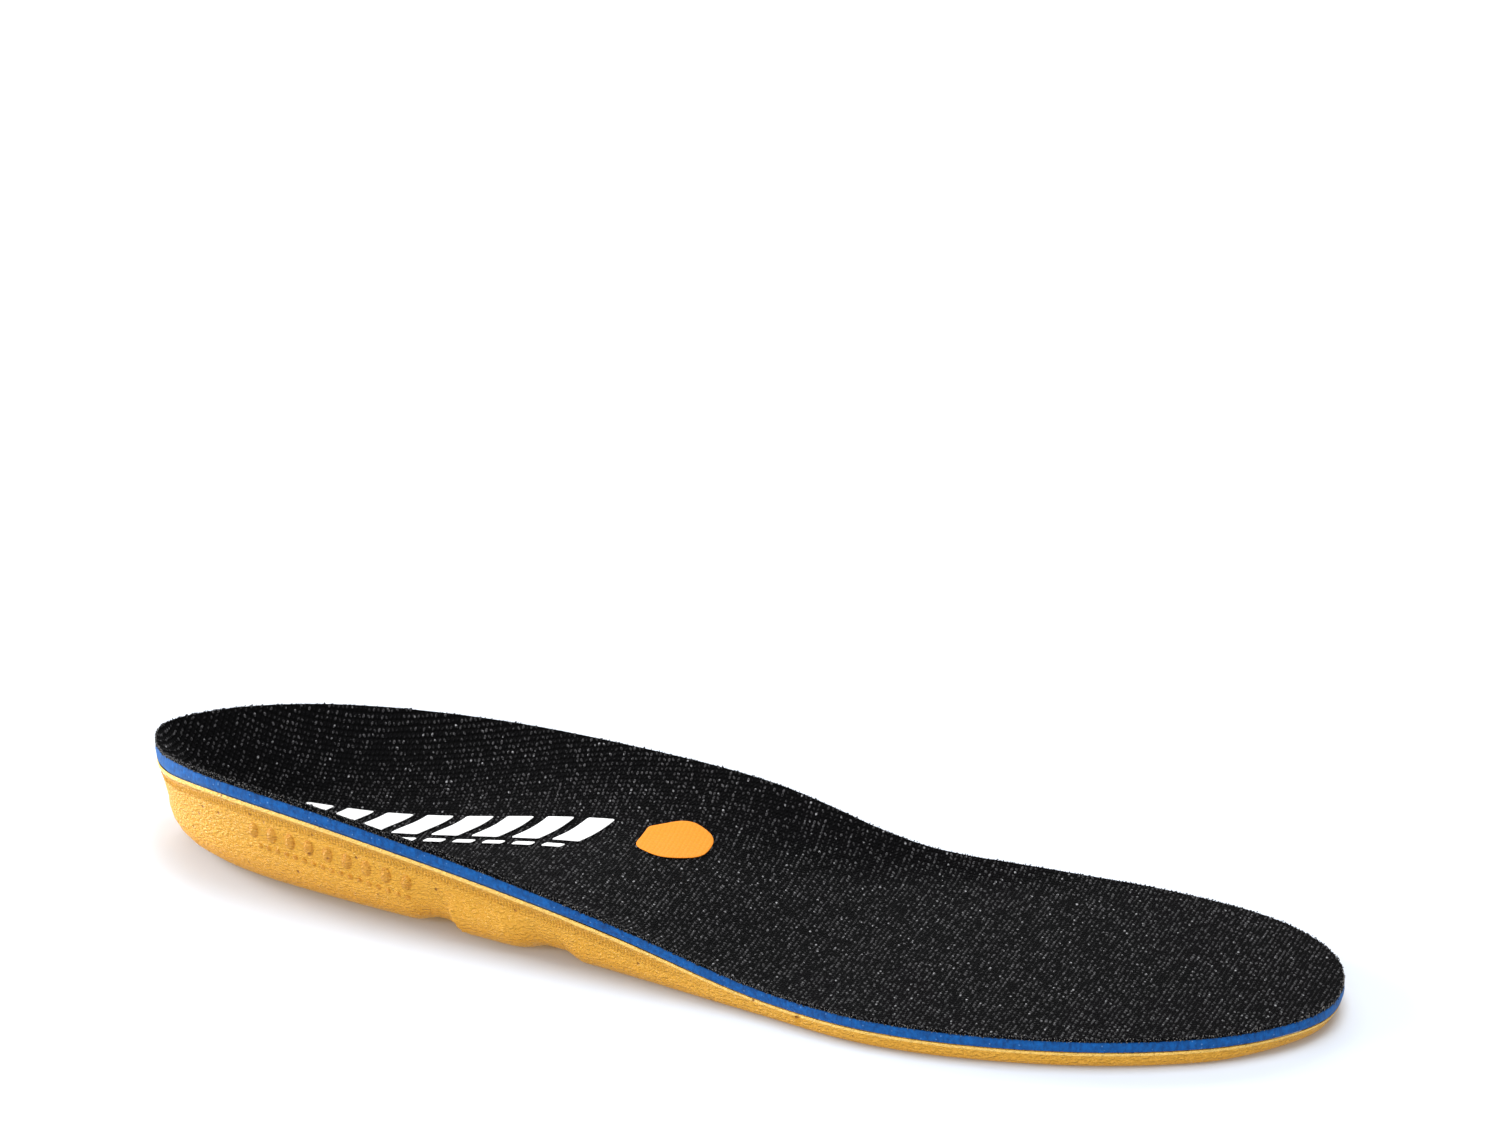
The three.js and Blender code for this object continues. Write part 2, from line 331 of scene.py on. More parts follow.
# ======== Effects that more than one finish uses ========
def make_knit_relief():
    """Rows of loops and the gaps between them, turned in plan."""
    tree, given, out = new_group(
        "knit_relief", {
            "Place": (VECTOR, None), "Pitch": (FLOAT, 0.001), "Turn": (FLOAT, 0.0)
        }, {"Height": FLOAT, "Gap": FLOAT, "Glint": FLOAT}
    )
    turned = put(
        tree, "ShaderNodeVectorRotate", {"Vector": given["Place"], "Angle": given["Turn"]},
        rotation_type="Z_AXIS"
    ).outputs[0]
    parts = put(tree, "ShaderNodeSeparateXYZ", {0: turned}).outputs
    waves = []
    for part in (parts["X"], parts["Y"]):
        phase = math_node(tree, "MULTIPLY", math_node(tree, "DIVIDE", part, given["Pitch"]), math.pi)
        waves.append(math_node(tree, "ABSOLUTE", math_node(tree, "SINE", phase)))
    height = math_node(tree, "MULTIPLY", waves[0], waves[1])
    tree.links.new(height, out["Height"])
    tree.links.new(spread(tree, height, 0.0, 0.35, 1.0, 0.0), out["Gap"])
    fibres = put(
        tree, "ShaderNodeTexNoise", {"Vector": turned, "Scale": 2600.0, "Detail": 2.0, "Roughness": 0.6}
    ).outputs["Fac"]
    tree.links.new(spread(tree, fibres, 0.6, 0.72), out["Glint"])
    return tree


def make_fibre_streaks():
    """Fine mottling, drawn out along one direction, as cut foam and felt have."""
    tree, given, out = new_group(
        "fibre_streaks", {
            "Place": (VECTOR, None), "Scale": (FLOAT, 1000.0), "Draw": (VECTOR, (1.0, 1.0, 1.0)),
            "Contrast": (FLOAT, 0.2)
        }, {"Tone": FLOAT, "Height": FLOAT}
    )
    drawn = put(
        tree, "ShaderNodeVectorMath", {0: given["Place"], 1: given["Draw"]}, operation="MULTIPLY"
    ).outputs[0]
    fine = put(
        tree, "ShaderNodeTexNoise",
        {"Vector": drawn, "Scale": given["Scale"], "Detail": 3.0, "Roughness": 0.65}
    ).outputs["Fac"]
    low = math_node(tree, "SUBTRACT", 0.5, given["Contrast"])
    high = math_node(tree, "ADD", 0.5, given["Contrast"])
    tree.links.new(spread(tree, fine, low, high), out["Tone"])
    tree.links.new(fine, out["Height"])
    return tree


def make_skin_grain():
    """Small rounded pebbles with creases between them, as a moulded leathery skin has."""
    tree, given, out = new_group(
        "skin_grain", {
            "Place": (VECTOR, None), "Pebble": (FLOAT, 0.001), "Warp": (FLOAT, 0.3),
            "Draw": (VECTOR, (1.0, 1.0, 1.0))
        }, {"Height": FLOAT, "Crease": FLOAT}
    )
    scale = math_node(tree, "DIVIDE", 1.0, given["Pebble"])
    drawn = put(
        tree, "ShaderNodeVectorMath", {0: given["Place"], 1: given["Draw"]}, operation="MULTIPLY"
    ).outputs[0]
    bent = put(tree, "ShaderNodeTexNoise", {"Vector": drawn, "Scale": scale, "Detail": 1.0}).outputs["Color"]
    reach = math_node(tree, "MULTIPLY", given["Pebble"], given["Warp"])
    shift = put(tree, "ShaderNodeVectorMath", {0: bent, "Scale": reach}, operation="SCALE").outputs[0]
    place = put(tree, "ShaderNodeVectorMath", {0: drawn, 1: shift}, operation="ADD").outputs[0]
    cells = put(
        tree, "ShaderNodeTexVoronoi", {"Vector": place, "Scale": scale, "Smoothness": 0.35},
        feature="SMOOTH_F1"
    ).outputs["Distance"]
    tree.links.new(spread(tree, cells, 0.1, 0.75, 1.0, 0.0, smooth=True), out["Height"])
    tree.links.new(spread(tree, cells, 0.5, 0.8), out["Crease"])
    return tree


def make_scattered_specks():
    """Small round specks, scattered: lint on a cloth, pinholes in a skin that the footbed paints with shade,
    and painted glints on the stitches.
    """
    tree, given, out = new_group(
        "scattered_specks",
        {"Place": (VECTOR, None), "Spacing": (FLOAT, 0.005), "Radius": (FLOAT, 0.0003)}, {"Mask": FLOAT}
    )
    scale = math_node(tree, "DIVIDE", 1.0, given["Spacing"])
    cells = put(
        tree, "ShaderNodeTexVoronoi", {"Vector": given["Place"], "Scale": scale, "Randomness": 1.0}
    ).outputs["Distance"]
    share = math_node(tree, "DIVIDE", given["Radius"], given["Spacing"])
    wide = math_node(tree, "MULTIPLY", share, 1.5)
    narrow = math_node(tree, "MULTIPLY", share, 0.6)
    made = put(
        tree, "ShaderNodeMapRange",
        {"Value": cells, "From Min": narrow, "From Max": wide, "To Min": 1.0, "To Max": 0.0}
    )
    tree.links.new(made.outputs["Result"], out["Mask"])
    return tree


def make_soft_blotches():
    """Slow unevenness of tone over a surface: dye, dust, handling."""
    tree, given, out = new_group(
        "soft_blotches", {"Place": (VECTOR, None), "Size": (FLOAT, 0.02), "Amount": (FLOAT, 0.2)},
        {"Tone": FLOAT}
    )
    scale = math_node(tree, "DIVIDE", 1.0, given["Size"])
    noise = put(
        tree, "ShaderNodeTexNoise", {"Vector": given["Place"], "Scale": scale, "Detail": 3.0}
    ).outputs["Fac"]
    centred = math_node(tree, "SUBTRACT", noise, 0.5)
    tree.links.new(
        math_node(tree, "ADD", math_node(tree, "MULTIPLY", centred, given["Amount"]), 0.5), out["Tone"]
    )
    return tree


KNIT_RELIEF = make_knit_relief()
FIBRE_STREAKS = make_fibre_streaks()
SKIN_GRAIN = make_skin_grain()
SCATTERED_SPECKS = make_scattered_specks()
SOFT_BLOTCHES = make_soft_blotches()


def effect(tree, group, inputs):
    return put(tree, "ShaderNodeGroup", inputs, node_tree=group).outputs


# ======== Finishes ========
def new_finish(name):
    finish = bpy.data.materials.new(name)
    finish.use_nodes = True
    tree = finish.node_tree
    shader = next(n for n in tree.nodes if n.type == "BSDF_PRINCIPLED")
    place = put(tree, "ShaderNodeTexCoord").outputs
    return finish, tree, shader, place


def read(tree, name):
    return put(tree, "ShaderNodeAttribute", attribute_name=name).outputs["Fac"]


def raise_surface(tree, shader, height, strength, distance):
    bump = put(tree, "ShaderNodeBump", {"Height": height, "Strength": strength, "Distance": distance})
    tree.links.new(bump.outputs["Normal"], shader.inputs["Normal"])


def knit_ground_finish():
    """The knit under and between the stitches: nearly black, with the open gaps of the mesh painted darker
    still as painted shade in the gaps.
    """
    finish, tree, shader, place = new_finish("black_knit_ground")
    relief = effect(tree, KNIT_RELIEF, {"Place": place["Object"], "Pitch": STITCH_PITCH, "Turn": -KNIT_TURN})
    blotch = effect(tree, SOFT_BLOTCHES, {"Place": place["Object"], "Size": 0.03, "Amount": 0.5})
    fibres = effect(
        tree, FIBRE_STREAKS,
        {"Place": place["Object"], "Scale": 2200.0, "Draw": (1.0, 0.5, 1.0), "Contrast": 0.18}
    )
    yarn = mix_colour(tree, fibres["Tone"], (0.0008, 0.0008, 0.001, 1), (0.004, 0.0039, 0.0043, 1))
    lit = mix_colour(tree, blotch["Tone"], yarn, (0.003, 0.003, 0.0033, 1))
    # painted shade: the ground is darker in the gaps between the loops
    gap = mix_colour(tree, relief["Gap"], lit, (0.001, 0.001, 0.001, 1))
    tree.links.new(gap, shader.inputs["Base Color"])
    tree.links.new(spread(tree, fibres["Tone"], 0, 1, 0.75, 0.95), shader.inputs["Roughness"])
    shader.inputs["Specular IOR Level"].default_value = 0.02
    raise_surface(tree, shader, relief["Height"], 0.7, 0.25 * MM)
    return finish


def stitch_finish():
    """The raised stitches: black polyester yarn, with painted highlights: stitches painted lighter at
    random, and bright painted glints on scattered specks.
    """
    finish, tree, shader, place = new_finish("black_knit_stitches")
    tone = read(tree, "stitch_tone")
    fibres = effect(
        tree, FIBRE_STREAKS,
        {"Place": place["Object"], "Scale": 3000.0, "Draw": (0.4, 1.0, 1.0), "Contrast": 0.12}
    )
    specks = effect(
        tree, SCATTERED_SPECKS, {"Place": place["Object"], "Spacing": 1.5 * MM, "Radius": 0.24 * MM}
    )
    # painted highlight: a random share of the stitches gets the lighter yarn colour
    bright = math_node(tree, "POWER", tone, 2.0)
    yarn = mix_colour(tree, fibres["Tone"], (0.0008, 0.0008, 0.001, 1), (0.004, 0.0039, 0.0042, 1))
    painted_highlight_yarn = mix_colour(tree, fibres["Tone"], (0.004, 0.004, 0.0042, 1), (0.085, 0.083, 0.0865, 1))
    each = mix_colour(tree, bright, yarn, painted_highlight_yarn)
    # painted glints: bright specks on the lighter stitches
    painted_glint = mix_colour(tree, math_node(tree, "MULTIPLY", specks["Mask"], tone), each, (0.34, 0.34, 0.35, 1))
    tree.links.new(painted_glint, shader.inputs["Base Color"])
    tree.links.new(spread(tree, tone, 0, 1, 0.7, 0.45), shader.inputs["Roughness"])
    shader.inputs["Specular IOR Level"].default_value = 0.04
    raise_surface(tree, shader, fibres["Height"], 0.5, 0.12 * MM)
    return finish


def cut_fibre_finish():
    """Loose ends of yarn along the cut edge."""
    finish, tree, shader, place = new_finish("cut_yarn_ends")
    tone = read(tree, "stitch_tone")
    fibres = effect(
        tree, FIBRE_STREAKS,
        {"Place": place["Object"], "Scale": 3500.0, "Draw": (1.0, 1.0, 1.0), "Contrast": 0.15}
    )
    pale = mix_colour(tree, fibres["Tone"], (0.03, 0.028, 0.026, 1), (0.26, 0.24, 0.22, 1))
    mixed = mix_colour(tree, spread(tree, tone, 0.35, 0.55), pale, (0.006, 0.006, 0.007, 1))
    tree.links.new(mixed, shader.inputs["Base Color"])
    tree.links.new(spread(tree, fibres["Tone"], 0, 1, 0.6, 0.85), shader.inputs["Roughness"])
    return finish


def cushion_finish():
    """Blue foam with a felt-like cut edge."""
    finish, tree, shader, place = new_finish("blue_felted_foam")
    streaks = effect(
        tree, FIBRE_STREAKS,
        {"Place": place["UV"], "Scale": 900.0, "Draw": (1.0, 0.6, 1.0), "Contrast": 0.14}
    )
    cells = effect(
        tree, FIBRE_STREAKS,
        {"Place": place["Object"], "Scale": 900.0, "Draw": (1.0, 1.0, 1.0), "Contrast": 0.16}
    )
    blotch = effect(tree, SOFT_BLOTCHES, {"Place": place["Object"], "Size": 0.012, "Amount": 0.8})
    lint = effect(
        tree, SCATTERED_SPECKS, {"Place": place["Object"], "Spacing": 1.5 * MM, "Radius": 0.16 * MM}
    )
    blue = mix_colour(tree, streaks["Tone"], (0.0005, 0.025, 0.12, 1), (0.006, 0.1, 0.36, 1))
    blue = mix_colour(tree, math_node(tree, "MULTIPLY", cells["Tone"], 0.5), blue, (0.005, 0.06, 0.22, 1))
    blue = mix_colour(tree, spread(tree, blotch["Tone"], 0.3, 0.8, 0.0, 0.35), blue, (0.01, 0.12, 0.36, 1))
    blue = mix_colour(tree, math_node(tree, "MULTIPLY", lint["Mask"], 0.5), blue, (0.16, 0.33, 0.6, 1))
    tree.links.new(blue, shader.inputs["Base Color"])
    tree.links.new(spread(tree, streaks["Tone"], 0, 1, 0.8, 0.95), shader.inputs["Roughness"])
    shader.inputs["Specular IOR Level"].default_value = 0.15
    shader.inputs["Sheen Weight"].default_value = 0.15
    shader.inputs["Sheen Roughness"].default_value = 0.5
    shader.inputs["Sheen Tint"].default_value = (0.55, 0.78, 1.0, 1)
    raise_surface(tree, shader, streaks["Height"], 0.6, 0.3 * MM)
    return finish


def footbed_finish(name, crease_shade_colour, pebble_colour):
    """Amber moulded foam: a pebbled skin with pinholes, a lip and a stippled band under it. Painted shade
    darkens the creases, the pinholes, the stippled band and the wall towards its base; a painted highlight
    lightens the lip.
    """
    finish, tree, shader, place = new_finish(name)
    lip, band, low = read(tree, "lip"), read(tree, "knurl"), read(tree, "low")
    grain = effect(
        tree, SKIN_GRAIN,
        {"Place": place["Object"], "Pebble": 0.95 * MM, "Warp": 0.7, "Draw": (0.75, 0.75, 1.4)}
    )
    fine = effect(
        tree, SKIN_GRAIN,
        {"Place": place["Object"], "Pebble": 0.5 * MM, "Warp": 0.6, "Draw": (0.8, 0.8, 1.25)}
    )
    stipple = effect(
        tree, FIBRE_STREAKS,
        {"Place": place["UV"], "Scale": 1500.0, "Draw": (1.0, 0.6, 1.0), "Contrast": 0.12}
    )
    blotch = effect(tree, SOFT_BLOTCHES, {"Place": place["Object"], "Size": 0.016, "Amount": 0.7})
    holes = effect(
        tree, SCATTERED_SPECKS, {"Place": place["Object"], "Spacing": 4.2 * MM, "Radius": 0.3 * MM}
    )
    # painted shade: the creases between the pebbles take the darker colour, the pebble tops the lighter one
    amber = mix_colour(tree, grain["Height"], crease_shade_colour, pebble_colour)
    amber = mix_colour(tree, spread(tree, blotch["Tone"], 0.25, 0.8, 0.0, 0.4), amber, (0.82, 0.44, 0.06, 1))
    # painted shade: the creases of the fine grain are darkened
    amber = mix_colour(tree, math_node(tree, "MULTIPLY", fine["Crease"], 0.4), amber, (0.55, 0.23, 0.015, 1))
    # painted shade: the wall darkens towards its base, and the underside is darkened all over
    amber = mix_colour(tree, math_node(tree, "MULTIPLY", low, 0.45), amber, (0.78, 0.33, 0.022, 1))
    # painted shade: the stippled band under the lip is darkened in a stipple pattern
    dark = math_node(tree, "MULTIPLY", band, spread(tree, stipple["Tone"], 0, 1, 0.75, 0.15))
    amber = mix_colour(tree, dark, amber, (0.45, 0.2, 0.015, 1))
    # painted highlight: the lip along the top edge is painted lighter
    amber = mix_colour(tree, math_node(tree, "MULTIPLY", lip, 0.75), amber, (0.95, 0.62, 0.16, 1))
    # painted shade: the pinholes are painted dark
    amber = mix_colour(tree, math_node(tree, "MULTIPLY", holes["Mask"], 0.8), amber, (0.28, 0.07, 0.01, 1))
    tree.links.new(amber, shader.inputs["Base Color"])
    tree.links.new(spread(tree, grain["Height"], 0, 1, 0.62, 0.46), shader.inputs["Roughness"])
    shader.inputs["Specular IOR Level"].default_value = 0.4
    height = math_node(
        tree, "ADD", math_node(tree, "MULTIPLY", grain["Height"], 0.6),
        math_node(tree, "MULTIPLY", fine["Height"], 0.4)
    )
    height = math_node(tree, "SUBTRACT", height, holes["Mask"])
    height = math_node(
        tree, "ADD", height,
        math_node(tree, "MULTIPLY", band, math_node(tree, "MULTIPLY", stipple["Height"], 1.5))
    )
    raise_surface(tree, shader, height, 0.9, 0.6 * MM)
    return finish


def web_finish():
    """Hot-melt web: a milky open net of glue."""
    finish, tree, shader, place = new_finish("milky_hot_melt")
    net = effect(
        tree, FIBRE_STREAKS,
        {"Place": place["Object"], "Scale": 700.0, "Draw": (1.0, 1.0, 1.0), "Contrast": 0.1}
    )
    milk = mix_colour(tree, net["Tone"], (0.5, 0.48, 0.42, 1), (0.72, 0.7, 0.64, 1))
    tree.links.new(milk, shader.inputs["Base Color"])
    tree.links.new(spread(tree, net["Tone"], 0, 1, 0.35, 0.6), shader.inputs["Roughness"])
    raise_surface(tree, shader, net["Height"], 0.4, 0.1 * MM)
    return finish


def ink_finish(name, colour, worn):
    """Transfer film pressed into the knit, a little thin over the gaps."""
    finish, tree, shader, place = new_finish(name)
    relief = effect(tree, KNIT_RELIEF, {"Place": place["Object"], "Pitch": STITCH_PITCH, "Turn": -KNIT_TURN})
    fibres = effect(
        tree, FIBRE_STREAKS,
        {"Place": place["Object"], "Scale": 1800.0, "Draw": (1.0, 1.0, 1.0), "Contrast": 0.14}
    )
    thin = math_node(tree, "MULTIPLY", relief["Gap"], spread(tree, fibres["Tone"], 0.5, 1.0, 0.0, 0.35))
    tree.links.new(mix_colour(tree, thin, colour, worn), shader.inputs["Base Color"])
    tree.links.new(spread(tree, fibres["Tone"], 0, 1, 0.6, 0.8), shader.inputs["Roughness"])
    shader.inputs["Specular IOR Level"].default_value = 0.08
    raise_surface(tree, shader, relief["Height"], 0.35, 0.15 * MM)
    return finish


CONTACT_REACH = 4 * MM  # light passes the floor this near to what rests on it


def floor_finish():
    """A pale sweep that is seen from above only, and lets light up to the underside that rests on it."""
    finish, tree, shader, place = new_finish("pale_floor")
    blotch = effect(tree, SOFT_BLOTCHES, {"Place": place["Object"], "Size": 0.2, "Amount": 0.05})
    tree.links.new(
        mix_colour(tree, blotch["Tone"], (0.59, 0.63, 0.69, 1), (0.61, 0.65, 0.71, 1)),
        shader.inputs["Base Color"]
    )
    shader.inputs["Roughness"].default_value = 0.85
    shader.inputs["Specular IOR Level"].default_value = 0.1
    output = next(n for n in tree.nodes if n.type == "OUTPUT_MATERIAL")
    ray = put(tree, "ShaderNodeLightPath").outputs
    lights_base = math_node(
        tree, "MULTIPLY", math_node(tree, "LESS_THAN", ray["Ray Length"], CONTACT_REACH),
        math_node(tree, "SUBTRACT", 1.0, ray["Is Camera Ray"])
    )
    below = math_node(tree, "MAXIMUM", put(tree, "ShaderNodeNewGeometry").outputs["Backfacing"], lights_base)
    clear = put(tree, "ShaderNodeBsdfTransparent").outputs[0]
    seen = put(tree, "ShaderNodeMixShader", {0: below, 1: shader.outputs[0], 2: clear}).outputs[0]
    tree.links.new(seen, output.inputs["Surface"])
    return finish


KNIT_GROUND = knit_ground_finish()
STITCHES = stitch_finish()
CUT_ENDS = cut_fibre_finish()
CUSHION_BLUE = cushion_finish()
AMBER = footbed_finish("amber_moulded_skin", (0.66, 0.31, 0.016, 1), (0.8, 0.4, 0.03, 1))
# painted shade: the raised marks use a darker copy of the amber, standing in for the shade round their
# relief
AMBER_MARKS_SHADED = footbed_finish("amber_raised_marks_shaded", (0.5, 0.2, 0.01, 1), (0.72, 0.33, 0.024, 1))
HOT_MELT = web_finish()
WHITE_INK = ink_finish("white_transfer_film", (0.8, 0.8, 0.8, 1), (0.35, 0.35, 0.35, 1))
ORANGE_INK = ink_finish("orange_transfer_film", (0.68, 0.22, 0.018, 1), (0.48, 0.15, 0.012, 1))


# ======== Geometry nodes: what repeats ========
def run_nodes(name, source, group, values):
    """The mesh that a tree of geometry nodes makes from a source mesh."""
    holder = new_piece(name + "_source", source)
    modifier = holder.modifiers.new("make", "NODES")
    modifier.node_group = group
    for item in group.interface.items_tree:
        if item.item_type == "SOCKET" and item.in_out == "INPUT" and item.name in values:
            modifier[item.identifier] = values[item.name]
    evaluated = holder.evaluated_get(bpy.context.evaluated_depsgraph_get())
    mesh = bpy.data.meshes.new_from_object(evaluated)
    holder.modifiers.remove(modifier)
    bpy.data.objects.remove(holder)
    mesh.name = name
    return mesh


def make_stitch_lattice():
    """Stitches at the crossings of a turned lattice, dropped on the face that comes in."""
    tree, given, out = new_group(
        "stitch_lattice",
        {
            "Geometry": ("NodeSocketGeometry", None),
            "Pitch": (FLOAT, 0.001),
            "Long Side": (FLOAT, 0.34),
            "Short Side": (FLOAT, 0.16),
            "Turn": (FLOAT, 0.0),
            "Lean": (FLOAT, 0.0),
            "Stitch Size": (VECTOR, (0.001, 0.0005, 0.0002)),
            "Sink": (FLOAT, 0.0),
            "Seed": ("NodeSocketInt", 1),
            "Finish": ("NodeSocketMaterial", None),
        },
        {"Geometry": "NodeSocketGeometry"},
        "GeometryNodeTree",
    )
    along = math_node(tree, "ROUND", math_node(tree, "DIVIDE", given["Long Side"], given["Pitch"]))
    across = math_node(tree, "ROUND", math_node(tree, "DIVIDE", given["Short Side"], given["Pitch"]))
    lattice = put(
        tree, "GeometryNodeMeshGrid",
        {
            "Size X": given["Long Side"], "Size Y": given["Short Side"], "Vertices X": along,
            "Vertices Y": across
        }
    ).outputs["Mesh"]
    number = put(tree, "GeometryNodeInputIndex").outputs[0]
    column = math_node(tree, "FLOOR", math_node(tree, "DIVIDE", number, across))
    odd = math_node(tree, "MODULO", column, 2.0)
    kept = put(tree, "GeometryNodeCaptureAttribute", {"Geometry": lattice}, domain="POINT")
    kept.capture_items.new("FLOAT", "odd")
    tree.links.new(odd, kept.inputs["odd"])
    spin = put(tree, "ShaderNodeCombineXYZ", {"Z": given["Turn"]}).outputs[0]
    turned = put(
        tree, "GeometryNodeTransform",
        {"Geometry": kept.outputs["Geometry"], "Translation": (0.0, 0.0, 0.1), "Rotation": spin}
    ).outputs[0]
    wobble = put(
        tree, "FunctionNodeRandomValue",
        {"Min": (-0.13 * MM,) * 2 + (0.0,), "Max": (0.13 * MM,) * 2 + (0.0,), "Seed": given["Seed"]},
        data_type="FLOAT_VECTOR"
    ).outputs["Value"]
    shaken = put(tree, "GeometryNodeSetPosition", {"Geometry": turned, "Offset": wobble}).outputs[0]
    ray = put(
        tree, "GeometryNodeRaycast",
        {"Target Geometry": given["Geometry"], "Ray Direction": (0.0, 0.0, -1.0), "Ray Length": 0.3}
    ).outputs
    face = put(tree, "GeometryNodeCaptureAttribute", {"Geometry": shaken}, domain="POINT")
    for name, kind, source in (
        ("hit", "BOOLEAN", ray["Is Hit"]), ("at", "VECTOR", ray["Hit Position"]),
        ("up", "VECTOR", ray["Hit Normal"])
    ):
        face.capture_items.new(kind, name)
        tree.links.new(source, face.inputs[name])
    landed = put(
        tree, "GeometryNodeSeparateGeometry",
        {"Geometry": face.outputs["Geometry"], "Selection": face.outputs["hit"]}
    ).outputs[0]
    sunk = put(
        tree, "ShaderNodeVectorMath",
        {0: face.outputs["up"], "Scale": math_node(tree, "MULTIPLY", given["Sink"], -1.0)},
        operation="SCALE"
    ).outputs[0]
    low = put(tree, "ShaderNodeVectorMath", {0: face.outputs["at"], 1: sunk}, operation="ADD").outputs[0]
    placed = put(tree, "GeometryNodeSetPosition", {"Geometry": landed, "Position": low}).outputs[0]
    side = math_node(tree, "SUBTRACT", math_node(tree, "MULTIPLY", kept.outputs["odd"], 2.0), 1.0)
    jitter = put(
        tree, "FunctionNodeRandomValue", {2: -0.35, 3: 0.35, "Seed": given["Seed"]}, data_type="FLOAT"
    ).outputs[1]
    heading = math_node(
        tree, "ADD",
        math_node(tree, "ADD", given["Turn"], math_node(tree, "MULTIPLY", side, given["Lean"])), jitter
    )
    first = put(tree, "ShaderNodeCombineXYZ", {"Z": heading}).outputs[0]
    first = put(tree, "FunctionNodeEulerToRotation", {0: first}).outputs[0]
    facing = put(
        tree, "FunctionNodeAlignRotationToVector", {"Rotation": first, "Vector": face.outputs["up"]},
        axis="Z"
    ).outputs[0]
    bead = put(tree, "GeometryNodeMeshUVSphere", {"Segments": 6, "Rings": 3, "Radius": 0.5}).outputs["Mesh"]
    swell = put(
        tree, "FunctionNodeRandomValue", {2: 0.72, 3: 1.2, "Seed": given["Seed"]}, data_type="FLOAT"
    ).outputs[1]
    size = put(
        tree, "ShaderNodeVectorMath", {0: given["Stitch Size"], "Scale": swell}, operation="SCALE"
    ).outputs[0]
    made = put(
        tree, "GeometryNodeInstanceOnPoints",
        {"Points": placed, "Instance": bead, "Rotation": facing, "Scale": size}
    ).outputs[0]
    shade = put(
        tree, "FunctionNodeRandomValue", {2: 0.0, 3: 1.0, "Seed": given["Seed"]}, data_type="FLOAT"
    ).outputs[1]
    toned = put(
        tree, "GeometryNodeStoreNamedAttribute",
        {"Geometry": made, "Name": "stitch_tone", "Value": shade}, data_type="FLOAT", domain="INSTANCE"
    ).outputs[0]
    real = put(tree, "GeometryNodeRealizeInstances", {"Geometry": toned}).outputs[0]
    smooth = put(tree, "GeometryNodeSetShadeSmooth", {"Geometry": real}).outputs[0]
    done = put(tree, "GeometryNodeSetMaterial", {"Geometry": smooth, "Material": given["Finish"]}).outputs[0]
    tree.links.new(done, out["Geometry"])
    return tree


